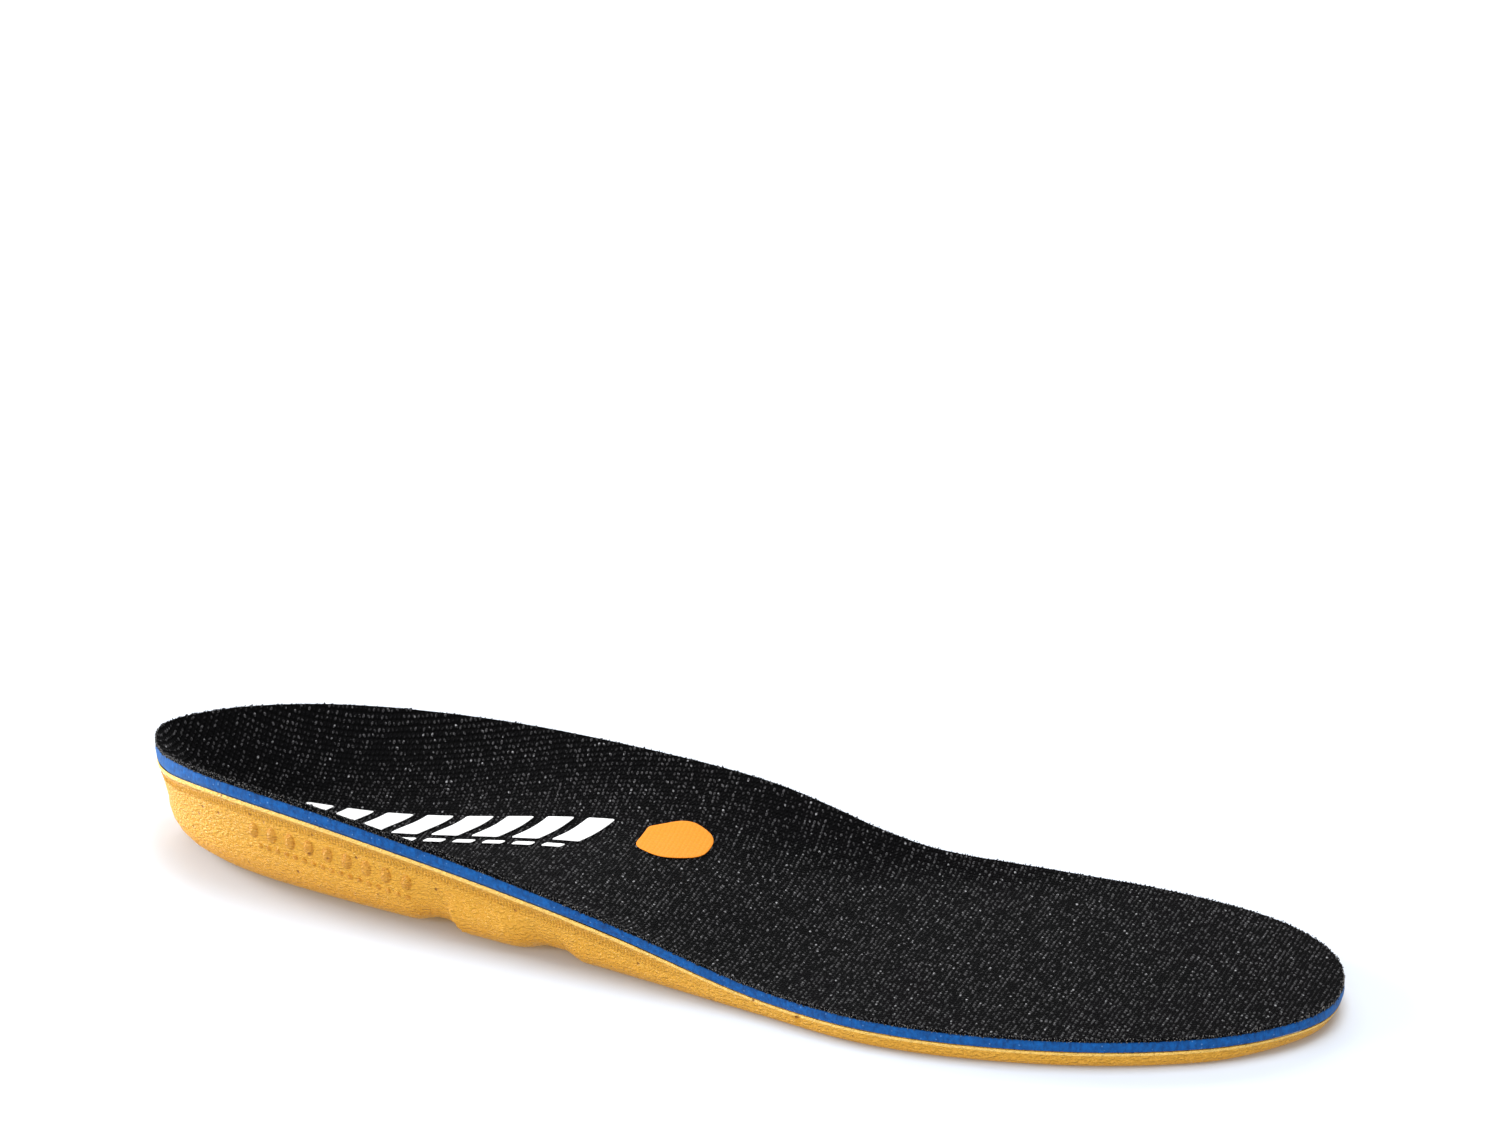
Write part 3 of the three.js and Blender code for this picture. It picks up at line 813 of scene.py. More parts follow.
def make_ribs_along_edge():
    """Rounded ribs at even steps along the line that comes in.

    They stand square to the attribute `outward`, and upright along `upward`.
    """
    tree, given, out = new_group(
        "ribs_along_edge",
        {
            "Geometry": ("NodeSocketGeometry", None),
            "Spacing": (FLOAT, 0.001),
            "Rib Size": (VECTOR, (0.0003, 0.002, 0.0002)),
            "Size Spread": (FLOAT, 0.1),
            "Scatter": (FLOAT, 0.0),
            "Lean": (FLOAT, 0.0),
            "Lean Spread": (FLOAT, 0.0),
            "Segments": ("NodeSocketInt", 6),
            "Rings": ("NodeSocketInt", 4),
            "Seed": ("NodeSocketInt", 1),
            "Finish": ("NodeSocketMaterial", None),
        },
        {"Geometry": "NodeSocketGeometry"},
        "GeometryNodeTree",
    )
    curve = put(tree, "GeometryNodeMeshToCurve", {"Mesh": given["Geometry"]}).outputs[0]
    stepped = put(
        tree, "GeometryNodeResampleCurve", {"Curve": curve, "Length": given["Spacing"]}, mode="LENGTH"
    ).outputs[0]
    facing = put(
        tree, "GeometryNodeInputNamedAttribute", {"Name": "outward"}, data_type="FLOAT_VECTOR"
    ).outputs[0]
    rising = put(
        tree, "GeometryNodeInputNamedAttribute", {"Name": "upward"}, data_type="FLOAT_VECTOR"
    ).outputs[0]
    low = math_node(tree, "MULTIPLY", given["Scatter"], -1.0)
    ends = [
        put(tree, "ShaderNodeCombineXYZ", {k: v for k in "XYZ"}).outputs[0]
        for v in (low, given["Scatter"])
    ]
    wander = put(
        tree, "FunctionNodeRandomValue", {"Min": ends[0], "Max": ends[1], "Seed": given["Seed"]},
        data_type="FLOAT_VECTOR"
    ).outputs["Value"]
    shaken = put(tree, "GeometryNodeSetPosition", {"Geometry": stepped, "Offset": wander}).outputs[0]
    back = math_node(tree, "MULTIPLY", given["Lean Spread"], -1.0)
    loose = put(
        tree, "FunctionNodeRandomValue", {2: back, 3: given["Lean Spread"], "Seed": given["Seed"]},
        data_type="FLOAT"
    ).outputs[1]
    tilt = put(tree, "ShaderNodeCombineXYZ", {"Z": math_node(tree, "ADD", given["Lean"], loose)}).outputs[0]
    stand = put(tree, "FunctionNodeAlignRotationToVector", {"Vector": rising}, axis="Y").outputs[0]
    stand = put(
        tree, "FunctionNodeAlignRotationToVector", {"Rotation": stand, "Vector": facing}, axis="Z"
    ).outputs[0]
    tilted = put(tree, "FunctionNodeEulerToRotation", {0: tilt}).outputs[0]
    stand = put(
        tree, "FunctionNodeRotateRotation", {"Rotation": stand, "Rotate By": tilted},
        rotation_space="LOCAL"
    ).outputs[0]
    bead = put(
        tree, "GeometryNodeMeshUVSphere",
        {"Segments": given["Segments"], "Rings": given["Rings"], "Radius": 0.5}
    ).outputs["Mesh"]
    less = math_node(tree, "SUBTRACT", 1.0, given["Size Spread"])
    more = math_node(tree, "ADD", 1.0, given["Size Spread"])
    swell = put(
        tree, "FunctionNodeRandomValue", {2: less, 3: more, "Seed": given["Seed"]}, data_type="FLOAT"
    ).outputs[1]
    size = put(
        tree, "ShaderNodeVectorMath", {0: given["Rib Size"], "Scale": swell}, operation="SCALE"
    ).outputs[0]
    made = put(
        tree, "GeometryNodeInstanceOnPoints",
        {"Points": shaken, "Instance": bead, "Rotation": stand, "Scale": size}
    ).outputs[0]
    shade = put(
        tree, "FunctionNodeRandomValue", {2: 0.0, 3: 1.0, "Seed": given["Seed"]}, data_type="FLOAT"
    ).outputs[1]
    toned = put(
        tree, "GeometryNodeStoreNamedAttribute",
        {"Geometry": made, "Name": "stitch_tone", "Value": shade}, data_type="FLOAT", domain="INSTANCE"
    ).outputs[0]
    real = put(tree, "GeometryNodeRealizeInstances", {"Geometry": toned}).outputs[0]
    smooth = put(tree, "GeometryNodeSetShadeSmooth", {"Geometry": real}).outputs[0]
    done = put(tree, "GeometryNodeSetMaterial", {"Geometry": smooth, "Material": given["Finish"]}).outputs[0]
    tree.links.new(done, out["Geometry"])
    return tree


STITCH_LATTICE = make_stitch_lattice()
RIBS_ALONG_EDGE = make_ribs_along_edge()


def guide_line(name, points, facing, rising, closed):
    """A line of points for ribs_along_edge."""
    count = len(points)
    edges = [(k, (k + 1) % count) for k in range(count if closed else count - 1)]
    mesh = bpy.data.meshes.new(name)
    mesh.from_pydata(points.tolist(), edges, [])
    for key, values in (("outward", facing), ("upward", rising)):
        layer = mesh.attributes.new(key, "FLOAT_VECTOR", "POINT")
        layer.data.foreach_set("vector", np.asarray(values, np.float32).ravel())
    return mesh


# ======== The laminated layers ========
def pressed_under_face(upper, rows, columns):
    """The cover's under face, drawn up towards the upper one along the edge."""
    lower = fine_face(face_grid("top_cover", lowest=True), rows, columns)
    near_edge = 1 - smoothstep(from_edge(lower), 0, PRESSED_REACH)
    heel_back = outline[:, 0].min()
    round_heel = 1 - smoothstep(lower[:, :, 0], heel_back + 6 * MM, heel_back + 30 * MM)
    share = PRESSED_EDGE + HEEL_PRESSED * round_heel
    lower[:, :, 2] += (upper[:, :, 2] - lower[:, :, 2]) * share * near_edge
    return lower


SHEET_ROWS, COVER_COLUMNS, CUSHION_COLUMNS = 256, 72, 24


def cover_piece():
    """The knitted cover: one sheet, whose cut edge is pressed thinner and a little rounded."""
    upper = fine_face(face_grid("top_cover"), SHEET_ROWS, COVER_COLUMNS)
    lower = pressed_under_face(upper, SHEET_ROWS, COVER_COLUMNS)
    top, bottom = edge_loop(upper), edge_loop(lower)
    side = outward(top)
    rng = np.random.default_rng(21)
    ragged = ring_noise(rng, len(top), 4, 1) * 0.05 * MM
    rings = [
        top + (bottom - top) * fall + side * (out * MM + rough[:, None])
        for (fall, out), rough in zip(((0.1, 0.1), (0.35, 0.2), (0.65, 0.2), (0.92, 0.12)), ragged)
    ]
    return new_piece("knit_cover", layered_mesh("knit_cover", upper, rings, lower), KNIT_GROUND), upper


def edge_rise(face):
    """How far the joint of cushion and footbed climbs along the edge, to show less foam on steep sides."""
    top = edge_loop(fine_face(face_grid("cushion_foam"), SHEET_ROWS, CUSHION_COLUMNS))
    bottom = edge_loop(fine_face(face_grid("cushion_foam", lowest=True), SHEET_ROWS, CUSHION_COLUMNS))
    extra = np.maximum(top[:, 2] - bottom[:, 2] - RIM_THICKNESS, 0)
    plan = face.reshape(-1, 3)[:, :2]
    nearest = ((plan[:, None] - bottom[None, :, :2]) ** 2).sum(-1).argmin(-1)
    near_edge = 1 - smoothstep(from_edge(face), 0, RIM_REACH)
    return extra[nearest].reshape(face.shape[:2]) * near_edge


def cushion_piece():
    """The foam cushion: its cut edge swells out between the cover and the footbed, past both."""
    rows, columns = 420, 48
    upper = fine_face(face_grid("cushion_foam"), rows, columns)
    lower = fine_face(face_grid("cushion_foam", lowest=True), rows, columns)
    lower[:, :, 2] += edge_rise(lower)
    cover_under = pressed_under_face(fine_face(face_grid("top_cover"), rows, columns), rows, columns)
    near_edge = 1 - smoothstep(from_edge(upper), 0, 0.6 * PRESSED_REACH)
    upper[:, :, 2] += (cover_under[:, :, 2] - 0.02 * MM - upper[:, :, 2]) * near_edge
    top, bottom = edge_loop(upper), edge_loop(lower)
    side = outward(top)
    rng = np.random.default_rng(11)
    falls = np.array([0.03, 0.1, 0.22, 0.36, 0.5, 0.64, 0.78, 0.9, 0.97])
    felt = ring_noise(rng, len(top), len(falls), 2) * FELT_ROUGHNESS
    swell = CUSHION_BULGE * (1 - np.abs(2 * falls - 1) ** 2.4) + 0.08 * MM
    rings = [
        top + (bottom - top) * fall + side * (out + rough[:, None] * min(1, 4 * fall, 4 - 4 * fall))
        for fall, out, rough in zip(falls, swell, felt)
    ]
    return new_piece("foam_cushion", layered_mesh("foam_cushion", upper, rings, lower), CUSHION_BLUE)


def web_piece(name, node):
    """A glue web, which stops short of the edge."""
    faces = []
    for lowest in (False, True):
        grid = face_grid(node, lowest)
        ends = np.concatenate([grid[1:2, ::-1], grid, grid[-2:-1, ::-1]])
        padded = np.concatenate([ends[:, 1:2], ends, ends[:, -2:-1]], axis=1)
        along = smooth_weights(np.linspace(WEB_END_GAP, GRID_ROWS - WEB_END_GAP, 161), GRID_ROWS)
        across = smooth_weights(np.linspace(WEB_SIDE_GAP, GRID_COLUMNS - WEB_SIDE_GAP, 49), GRID_COLUMNS)
        face = np.einsum("ua,abc,vb->uvc", along, padded, across)
        face[0], face[-1] = face[0].mean(0), face[-1].mean(0)
        faces.append(face)
    upper, lower = faces
    ring = (edge_loop(upper) + edge_loop(lower)) / 2
    return new_piece(name, layered_mesh(name, upper, [ring], lower), HOT_MELT)


# ======== The footbed ========
HEEL_BACK, TIP = outline[:, 0].min(), outline[:, 0].max()
LENGTH = TIP - HEEL_BACK
SIDE_SHIFT = outline[outline[:, 0].argmin(), 1] - 2 * MM  # from the foot's own centre line to the frame's
MIDFOOT_WIDTH = 77.5 * MM
BALL_WIDTH = 95 * MM
HEEL_WIDTH = 70.6 * MM


def smooth_line(points, steps):
    """Points along a smooth curve through a few."""
    p = np.array(points, float)
    padded = np.concatenate([2 * p[:1] - p[1:2], p, 2 * p[-1:] - p[-2:-1]])
    return smooth_weights(np.linspace(0, len(p) - 1, steps * (len(p) - 1) + 1), len(p) - 1) @ padded


def plan_line(stations_and_sides, steps=12):
    """A line in plan from stations along the length and distances to the side of the foot's centre line."""
    return smooth_line([(HEEL_BACK + s * LENGTH, SIDE_SHIFT + y) for s, y in stations_and_sides], steps)


CHANNELS = [
    (
        plan_line(
            [
                (0.306, -MIDFOOT_WIDTH), (0.306, -0.4 * MIDFOOT_WIDTH), (0.295, 0.06 * MIDFOOT_WIDTH),
                (0.25, MIDFOOT_WIDTH)
            ]
        ),
        10.5 * MM
    ),
    (
        plan_line(
            [
                (0.412, -MIDFOOT_WIDTH), (0.412, -0.4 * MIDFOOT_WIDTH), (0.43, 0.06 * MIDFOOT_WIDTH),
                (0.47, MIDFOOT_WIDTH)
            ]
        ),
        13 * MM
    ),
    (
        plan_line(
            [(0.3, -0.05 * MIDFOOT_WIDTH), (0.36, -0.05 * MIDFOOT_WIDTH), (0.42, -0.05 * MIDFOOT_WIDTH)]
        ),
        8 * MM
    ),
]
GROOVES = [
    plan_line([(s - 0.012, -0.36 * BALL_WIDTH), (s + 0.012, 0), (s + 0.02, 0.3 * BALL_WIDTH)])
    for s in (0.58, 0.625, 0.67, 0.715)
]
for share in (0.13, 0.21):
    radius = share * HEEL_WIDTH
    reach = radius / LENGTH
    GROOVES.append(
        plan_line(
            [
                (0.13 + 2 * reach, radius), (0.13, radius), (0.13 - 0.9 * reach, 0), (0.13, -radius),
                (0.13 + 2 * reach, -radius)
            ],
            16
        )
    )


def channel_share(plan):
    """How far a point is into a channel: 1 on its floor, 0 outside it."""
    deepest = np.zeros(len(plan))
    for line, width in CHANNELS:
        d = distance_to(line, plan)
        deepest = np.maximum(deepest, 1 - smoothstep(d, width / 2 - 4.2 * MM, width / 2 + 2.2 * MM))
    return deepest


def groove_share(plan):
    deepest = np.zeros(len(plan))
    for line in GROOVES:
        deepest = np.maximum(deepest, 1 - smoothstep(distance_to(line, plan), 0.5 * MM, 1.5 * MM))
    return deepest


def station_mm(x):
    """Distance from the back of the heel, in millimetres."""
    return (x - HEEL_BACK) / MM


RIDGE_STATION = 94.5  # where the ridge on the outer wall stands, in millimetres from the heel
NICK_STATION = 186.4  # where the small nick in the outer wall is, likewise


def pod_relief(x, z, height):
    """How far the outer wall stands out round the midfoot's pad, with the ridge at its heel end."""
    s = station_mm(x)
    rise = z / height
    edge = RIDGE_STATION + 3.2 * np.clip(
        1 - rise / 0.55, 0, 1
    ) ** 1.5  # the ridge's line, which leans to the toe at its foot
    within = smoothstep(s, edge - 0.6, edge + 1.4) * (1 - smoothstep(s, 108, 114)) * (
        1 - smoothstep(rise, 0.45, 0.7)
    )
    ridge = np.exp(-(((s - edge) / 0.85) ** 2)) * (
        1 - smoothstep(rise, 0.42, 0.62)
    ) * smoothstep(rise, 0.02, 0.12)
    return (1.3 * within + 1.5 * ridge) * MM


def footbed_piece():
    """The moulded footbed.

    A lip under the cushion, a stippled band, a drafted wall that turns under, and pads with channels.
    """
    rows = 680
    upper = fine_face(face_grid("moulded_footbed"), rows, 20)
    upper[:, :, 2] += edge_rise(upper)
    top = edge_loop(upper)
    side = outward(top)
    height = top[:, 2]
    outer_side = np.zeros(len(top))
    outer_side[: rows + 1] = 1

    lip = LIP_HEIGHT * (0.62 + 0.38 * smoothstep(height, 4 * MM, 14 * MM))
    step = LIP_STEP * (0.35 + 0.65 * smoothstep(height, 4 * MM, 14 * MM))
    radius = BASE_ROUND * height
    toe = smoothstep(top[:, 0], TIP - 16 * MM, TIP - 1 * MM) * TOE_TUCK
    levels = []  # each a pair: how far in from the edge, and the height
    for fall, inset in (
        (0.1, 0.02), (0.3, -0.08), (0.6, -0.12), (0.85, -0.02), (1.0, 0.25), (1.12, 0.75), (1.3, 1.0)
    ):
        levels.append((step * inset, height - lip * fall))
    start = height - lip * 1.3
    for share in np.linspace(0, 1, 15)[1:]:
        z = start + (radius - start) * share
        levels.append((step + WALL_DRAFT * (start - z), z))
    base_in = step + WALL_DRAFT * (start - radius)
    for degrees in (12, 24, 36, 48, 60, 72, 82, 90):
        angle = math.radians(degrees)
        levels.append((base_in + radius * (1 - math.cos(angle)), radius * (1 - math.sin(angle))))

    rings, base_shade_marks, lip_highlight_marks, band_shade_marks = [], [], [], []
    for inset, z in levels:
        inset = inset + toe * (1 - z / height)
        ring = top - side * inset[:, None]
        ring[:, 2] = z
        cut = channel_share(ring[:, :2])
        recess = cut * RECESS_DEPTH * (1 - smoothstep(z, 0.1 * height, 0.75 * height))
        pod = pod_relief(ring[:, 0], z, height) * outer_side
        nick = 0.55 * MM * np.exp(
            -(((station_mm(ring[:, 0]) - NICK_STATION) / 0.55) ** 2)
        ) * outer_side * smoothstep(z, 0.1 * height, 0.4 * height)
        ring = ring - side * (recess - pod + nick)[:, None]
        floor = (1 - 0.35 * outer_side) * CHANNEL_DEPTH * cut
        ring[:, 2] = floor + z * (height - floor) / height
        rings.append(ring)
        fall = height - z
        # mask for the painted highlight on the lip
        lip_highlight_marks.append(1 - smoothstep(fall, 0.85 * lip, 1.15 * lip))
        # mask for painted shade in the stippled band under the lip
        band = smoothstep(fall, 1.1 * lip, 1.35 * lip) * (
            1 - smoothstep(fall, lip + 0.8 * KNURL_HEIGHT, lip + 1.3 * KNURL_HEIGHT)
        )
        band_shade_marks.append(band * smoothstep(height, 5 * MM, 12 * MM))
        # mask for painted shade: 1 at the base of the wall, fading out by six tenths of its height
        base_shade_marks.append(1 - smoothstep(z / height, 0.05, 0.6))

    last = rings[-1]
    outer_row, inner_row = last[: rows + 1], np.concatenate(
        [last[:1], last[rows + 1 :][::-1], last[rows : rows + 1]]
    )
    across = np.linspace(0, 1, 61)
    lower = outer_row[:, None] + (inner_row - outer_row)[:, None] * across[None, :, None]
    plan = lower.reshape(-1, 3)[:, :2]
    away = np.minimum(across, 1 - across)[None, :] * np.linalg.norm(inner_row - outer_row, axis=1)[:, None]
    lift = CHANNEL_DEPTH * channel_share(plan) + 1.0 * MM * groove_share(plan) * smoothstep(
        away.ravel(), 1 * MM, 3 * MM
    )
    lower[:, :, 2] = lift.reshape(lower.shape[:2])
    lower[:, 0], lower[:, -1] = outer_row, inner_row

    mesh = layered_mesh("amber_footbed", upper, rings[:-1], lower)
    piece = new_piece("amber_footbed", mesh, AMBER)
    # marks: find each corner point's ring again from its place
    places = mesh_points(mesh)
    marks = {"lip": np.zeros(len(places)), "knurl": np.zeros(len(places)), "low": np.zeros(len(places))}
    first = len(places) - (len(rings) - 1) * len(top) - count_used(lower)
    for n in range(len(rings) - 1):
        span = slice(first + n * len(top), first + (n + 1) * len(top))
        for key, found in (("lip", lip_highlight_marks), ("knurl", band_shade_marks), ("low", base_shade_marks)):
            marks[key][span] = found[n]
    marks["low"][first + (len(rings) - 1) * len(top) :] = 1
    for key, values in marks.items():
        paint(mesh, key, values)
    return piece, top, rings, lip


def count_used(face):
    """Corner points of a face once each end row has become one point."""
    return (face.shape[0] - 2) * face.shape[1] + 2


# ======== Make the layers ========
cover, cover_top = cover_piece()
cushion = cushion_piece()
upper_web = web_piece("upper_glue_web", "cover_glue_web")
lower_web = web_piece("lower_glue_web", "footbed_glue_web")
footbed, bed_edge, bed_rings, bed_lip = footbed_piece()

# ---- Stitches over the cover, in three zones ----
def skin_mesh(face):
    """An open skin of a face's points."""
    index = np.arange(face.shape[0] * face.shape[1]).reshape(face.shape[:2])
    quads = np.stack([index[:-1, :-1], index[1:, :-1], index[1:, 1:], index[:-1, 1:]], -1).reshape(-1, 4)
    mesh = bpy.data.meshes.new("cover_skin")
    mesh.from_pydata(face.reshape(-1, 3).tolist(), [], quads.tolist())
    return mesh


cover_skin = cover_top[1:-1]
whole_skin = skin_mesh(cover_skin)
cover_tree = BVHTree.FromPolygons(
    [Vector(v.co) for v in whole_skin.vertices], [tuple(f.vertices) for f in whole_skin.polygons]
)
middle_line = cover_skin[:, cover_skin.shape[1] // 2, 0]
zone_ends = [
    0, *np.searchsorted(middle_line, (HEEL_BACK + 0.36 * LENGTH, HEEL_BACK + 0.67 * LENGTH)),
    len(cover_skin) - 1
]
stitches = []
for zone, first, last in zip(("heel", "waist", "forefoot"), zone_ends, zone_ends[1:]):
    stitch_mesh = run_nodes(
        "knit_stitches_" + zone,
        skin_mesh(cover_skin[first : last + 1]),
        STITCH_LATTICE,
        {
            "Pitch": STITCH_PITCH,
            "Long Side": 0.34,
            "Short Side": 0.17,
            "Turn": KNIT_TURN,
            "Lean": KNIT_LEAN,
            "Stitch Size": (STITCH_WIDTH, STITCH_LENGTH, 2 * STITCH_RISE),
            "Sink": 0.02 * MM,
            "Seed": 3,
            "Finish": STITCHES,
        },
    )
    stitches.append(new_piece("knit_stitches_" + zone, stitch_mesh))

# ---- Yarn ends along the cover's cut edge ----
edge_top = edge_loop(cover_top)
edge_out = outward(edge_top)
upright = np.tile([0.0, 0.0, 1.0], (len(edge_top), 1))
edge_low = edge_loop(pressed_under_face(cover_top, SHEET_ROWS, COVER_COLUMNS))
yarn_ends = []
for row, (share, seed) in enumerate(((0.12, 8), (0.45, 9), (0.8, 10)), 1):
    name = f"cut_yarn_ends_{row}"
    yarn_line = guide_line(
        name + "_line", edge_top + (edge_low - edge_top) * share + edge_out * 0.18 * MM, edge_out,
        upright, True
    )
    yarn_mesh = run_nodes(
        name,
        yarn_line,
        RIBS_ALONG_EDGE,
        {
            "Spacing": 0.55 * MM,
            "Rib Size": (0.26 * MM, 0.6 * MM, 0.3 * MM),
            "Size Spread": 0.4,
            "Scatter": 0.2 * MM,
            "Lean": 0.0,
            "Lean Spread": 1.4,
            "Segments": 4,
            "Rings": 3,
            "Seed": seed,
            "Finish": CUT_ENDS,
        },
    )
    yarn_ends.append(new_piece(name, yarn_mesh))


# ---- Knurled ribs in the band under the lip, and raised marks on the outer heel wall ----
def wall_line(depth, k_range=None):
    """A line round the footbed's wall at a depth under its top edge, with the wall's own directions."""
    k = np.arange(len(bed_edge)) if k_range is None else k_range
    stack = np.stack([ring[k] for ring in bed_rings])
    points = np.empty((len(k), 3))
    upward = np.empty((len(k), 3))
    wanted = bed_edge[k, 2] - depth
    for n in range(len(k)):
        z = stack[:, n, 2]
        m = int(np.clip(np.searchsorted(-z, -wanted[n]), 1, len(z) - 1))
        t = (wanted[n] - z[m - 1]) / min(z[m] - z[m - 1], -1e-9)
        points[n] = stack[m - 1, n] + (stack[m, n] - stack[m - 1, n]) * np.clip(t, 0, 1)
        upward[n] = stack[m - 1, n] - stack[m, n]
    upward /= np.linalg.norm(upward, axis=1, keepdims=True)
    along = np.gradient(points, axis=0)
    facing = np.cross(along, upward)
    facing /= np.linalg.norm(facing, axis=1, keepdims=True)
    return points, facing, upward


tall_enough = np.flatnonzero((bed_edge[:, 2] > 8.5 * MM) & (np.arange(len(bed_edge)) <= len(bed_edge) // 2))
knurl_points, knurl_facing, knurl_upward = wall_line(bed_lip[tall_enough] + 1.75 * MM, tall_enough)
knurl_mesh = run_nodes(
    "knurl_ribs",
    guide_line("knurl_line", knurl_points, knurl_facing, knurl_upward, False),
    RIBS_ALONG_EDGE,
    {
        "Spacing": 0.82 * MM, "Rib Size": (0.42 * MM, 2.3 * MM, 0.24 * MM), "Size Spread": 0.06,
        "Scatter": 0.02 * MM, "Lean": 0.0, "Lean Spread": 0.05, "Segments": 6, "Rings": 4, "Seed": 4,
        "Finish": AMBER
    },
)
knurl_ribs = new_piece("knurl_ribs", knurl_mesh)

heelward = station_mm(bed_edge[:, 0])
on_outer = np.arange(len(bed_edge)) <= len(bed_edge) // 2
# Each row: name, where it starts and ends, how far under the edge, step, size of a mark, how far it is sunk.
MARK_ROWS = [
    ("heel_wall_ribs", 41, 83, 7.0 * MM, 5.2 * MM, (3.3 * MM, 5.4 * MM, 4.2 * MM), 1.15 * MM),
    ("heel_wall_dots", 42, 83, 10.8 * MM, 2.5 * MM, (1.7 * MM, 1.4 * MM, 1.9 * MM), 0.45 * MM),
]
wall_marks = []
for name, near, far, depth, spacing, size, sunk in MARK_ROWS:
    chosen = np.flatnonzero(on_outer & (heelward > near) & (heelward < far))
    points, facing, upward = wall_line(np.full(len(chosen), depth), chosen)
    mark_mesh = run_nodes(
        name,
        guide_line(name + "_line", points - facing * sunk, facing, upward, False),
        RIBS_ALONG_EDGE,
        {
            "Spacing": spacing, "Rib Size": size, "Size Spread": 0.0, "Scatter": 0.0, "Lean": -0.25,
            "Lean Spread": 0.0, "Segments": 16, "Rings": 10, "Seed": 2, "Finish": AMBER_MARKS_SHADED
        },
    )
    wall_marks.append(new_piece(name, mark_mesh))


# ======== The printed films ========
def hull(points):
    """The corners round a set of points in plan."""
    ordered = sorted(set(map(tuple, np.round(points, 6))))

    def half(sequence):
        kept = []
        for p in sequence:
            while len(kept) > 1 and (
                kept[-1][0] - kept[-2][0]
            ) * (p[1] - kept[-2][1]) - (kept[-1][1] - kept[-2][1]) * (p[0] - kept[-2][0]) <= 1e-10:
                kept.pop()
            kept.append(p)
        return kept[:-1]

    return np.array(half(ordered) + half(ordered[::-1]))


def rounded(corners, radius, steps=5):
    """A polygon with its corners rounded."""
    ring = []
    for k, corner in enumerate(corners):
        before, after = corners[k - 1] - corner, corners[(k + 1) % len(corners)] - corner
        cut = min(radius, 0.4 * np.linalg.norm(before), 0.4 * np.linalg.norm(after))
        a, b = corner + before / np.linalg.norm(before) * cut, corner + after / np.linalg.norm(after) * cut
        for t in np.linspace(0, 1, steps):
            ring.append((1 - t) ** 2 * a + 2 * t * (1 - t) * corner + t * t * b)
    return np.array(ring)


def even_ring(ring, spacing):
    closed = np.concatenate([ring, ring[:1]])
    run = np.concatenate([[0], np.cumsum(np.linalg.norm(np.diff(closed, axis=0), axis=1))])
    at = np.linspace(0, run[-1], max(24, int(run[-1] / spacing)) + 1)[:-1]
    return np.stack([np.interp(at, run, closed[:, 0]), np.interp(at, run, closed[:, 1])], 1)


def cover_height(x, y):
    hit = cover_tree.ray_cast(Vector((x, y, 0.1)), Vector((0, 0, -1)))
    return hit[0].z


def film_piece(name, node, finish, corner_radius):
    """A film of ink over a node's own outline, lying on the stitches."""
    ring = even_ring(rounded(hull(corner_points(node)[:, :2]), corner_radius), 0.55 * MM)
    middle = ring.mean(0)
    inward = middle - ring
    inward /= np.linalg.norm(inward, axis=1, keepdims=True)
    lift = STITCH_RISE + 0.03 * MM
    reach = np.linalg.norm(ring - middle, axis=1).min()
    inner_steps = max(3, int(reach / (0.55 * MM)))
    shares = np.linspace(0, 1, inner_steps + 1)[1:-1]
    loops = [(middle + (ring - middle) * s, FILM_THICKNESS) for s in shares]
    loops += [
        (ring + inward * 0.12 * MM, FILM_THICKNESS), (ring, 0.55 * FILM_THICKNESS),
        (ring + inward * 0.04 * MM, 0.0)
    ]
    loops += [(middle + (ring - middle) * s, 0.0) for s in shares[::-1]]
    places = [(middle[0], middle[1], cover_height(*middle) + lift + FILM_THICKNESS)]
    for loop, up in loops:
        places += [(x, y, cover_height(x, y) + lift + up) for x, y in loop]
    places.append((middle[0], middle[1], cover_height(*middle) + lift))
    count, faces = len(ring), []
    for k in range(count):
        m = (k + 1) % count
        faces.append((0, 1 + k, 1 + m))
        for n in range(len(loops) - 1):
            a, b = 1 + n * count, 1 + (n + 1) * count
            faces.append((a + k, b + k, b + m, a + m))
        faces.append((1 + (len(loops) - 1) * count + m, 1 + (len(loops) - 1) * count + k, len(places) - 1))
    mesh = bpy.data.meshes.new(name)
    mesh.from_pydata(places, [], faces)
    mesh.polygons.foreach_set("use_smooth", np.ones(len(faces), bool))
    return new_piece(name, mesh, finish)


films = []
for node in sorted(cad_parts):
    if node.startswith("print_"):
        is_emblem = node == "print_emblem"
        film = film_piece(
            node.replace("print_", "film_"), node, ORANGE_INK if is_emblem else WHITE_INK,
            (4.5 if is_emblem else 0.5) * MM
        )
        films.append((film, node))

# ======== Riding and replacing ================
for piece, node, finish_slot in (
    (cover, "top_cover", "knit"),
    (upper_web, "cover_glue_web", "glue"),
    (cushion, "cushion_foam", "foam"),
    (lower_web, "footbed_glue_web", "glue"),
    (footbed, "moulded_footbed", "moulding"),
):
    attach(piece, BODY)
    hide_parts(node)
for film, node in films:
    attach(film, BODY)
    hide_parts(node)
for piece, finish_slot in (
    *((p, "knit") for p in stitches + yarn_ends), *((p, "moulding") for p in [knurl_ribs] + wall_marks)
):
    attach(piece, BODY)

# ======== Floor, light and camera ========
FLOOR_LEVEL = -0.03 * MM
FLOOR_REACH = 6
floor_mesh = bpy.data.meshes.new("floor")
floor_corners = [
    (FLOOR_REACH * x, FLOOR_REACH * y, FLOOR_LEVEL) for x, y in ((-1, -1), (1, -1), (1, 1), (-1, 1))
]
floor_mesh.from_pydata(floor_corners, [], [(0, 1, 2, 3)])
floor = new_piece("floor", floor_mesh, floor_finish())

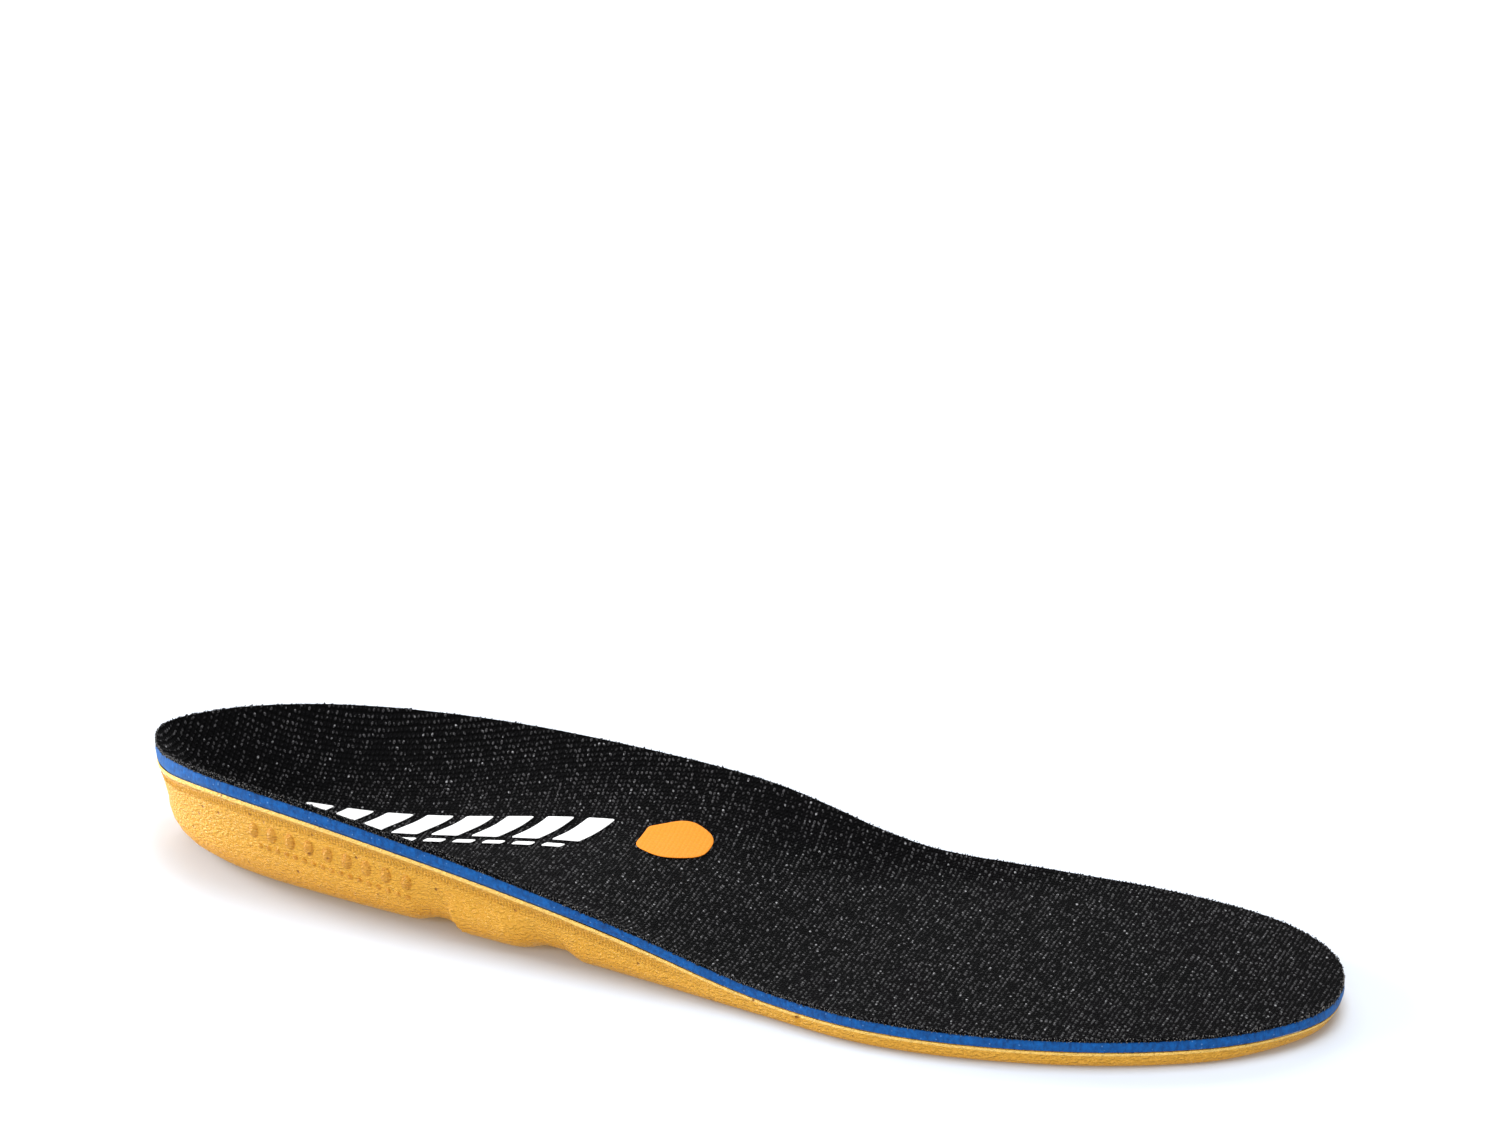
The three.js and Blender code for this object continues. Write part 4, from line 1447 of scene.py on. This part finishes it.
world = bpy.data.worlds.new("studio")
bpy.context.scene.world = world
world.use_nodes = True
world.node_tree.nodes["Background"].inputs["Color"].default_value = (0.97, 0.985, 1.0, 1)
world.node_tree.nodes["Background"].inputs["Strength"].default_value = 0.6


def softbox(name, place, aim, size, power, colour=(1, 1, 1)):
    data = bpy.data.lights.new(name, "AREA")
    data.shape = "RECTANGLE"
    data.size, data.size_y = size
    data.energy = power
    data.color = colour
    lamp = bpy.data.objects.new(name, data)
    bpy.context.scene.collection.objects.link(lamp)
    lamp.location = place
    lamp.rotation_mode = "QUATERNION"
    lamp.rotation_quaternion = (Vector(aim) - Vector(place)).to_track_quat("-Z", "Y")


softbox("overhead_softbox", (0.2, 0.1, 1.2), (0.02, 0.0, 0.0), (1.0, 0.8), 13.0)
softbox("back_softbox", (-0.75, 1.35, 0.95), (0.03, 0.0, 0.0), (1.2, 0.5), 13.0)
softbox("left_front_softbox", (-0.85, -1.05, 0.45), (-0.05, 0.0, 0.01), (0.5, 0.4), 6.5)
softbox("right_front_softbox", (0.7, -1.2, 0.5), (0.06, 0.0, 0.005), (0.8, 0.4), 6.5)
softbox("heel_rim_light", (-0.9, 0.05, 0.25), (-0.13, 0.0, 0.015), (0.4, 0.3), 10.0)

CAMERA_AROUND = math.radians(26.97)
CAMERA_ABOVE = math.radians(19.43)
CAMERA_AWAY = 2628.09 * MM
CAMERA_AIM = Vector((HEEL_BACK + 38.76 * MM, SIDE_SHIFT + 219.05 * MM, 0.0))
SENSOR_WIDTH = 36.0
FOCAL_LENGTH = 258.651

camera_data = bpy.data.cameras.new("studio_camera")
camera_data.sensor_width = SENSOR_WIDTH
camera_data.lens = FOCAL_LENGTH
camera_data.clip_start, camera_data.clip_end = 0.05, 50
camera = bpy.data.objects.new("studio_camera", camera_data)
bpy.context.scene.collection.objects.link(camera)
back = Vector(
    (
        math.sin(CAMERA_AROUND) * math.cos(CAMERA_ABOVE),
        -math.cos(CAMERA_AROUND) * math.cos(CAMERA_ABOVE), math.sin(CAMERA_ABOVE)
    )
)
camera.location = CAMERA_AIM + back * CAMERA_AWAY
camera.rotation_mode = "QUATERNION"
camera.rotation_quaternion = (-back).to_track_quat("-Z", "Y")
bpy.context.scene.camera = camera
bpy.context.scene.view_settings.view_transform = "Standard"
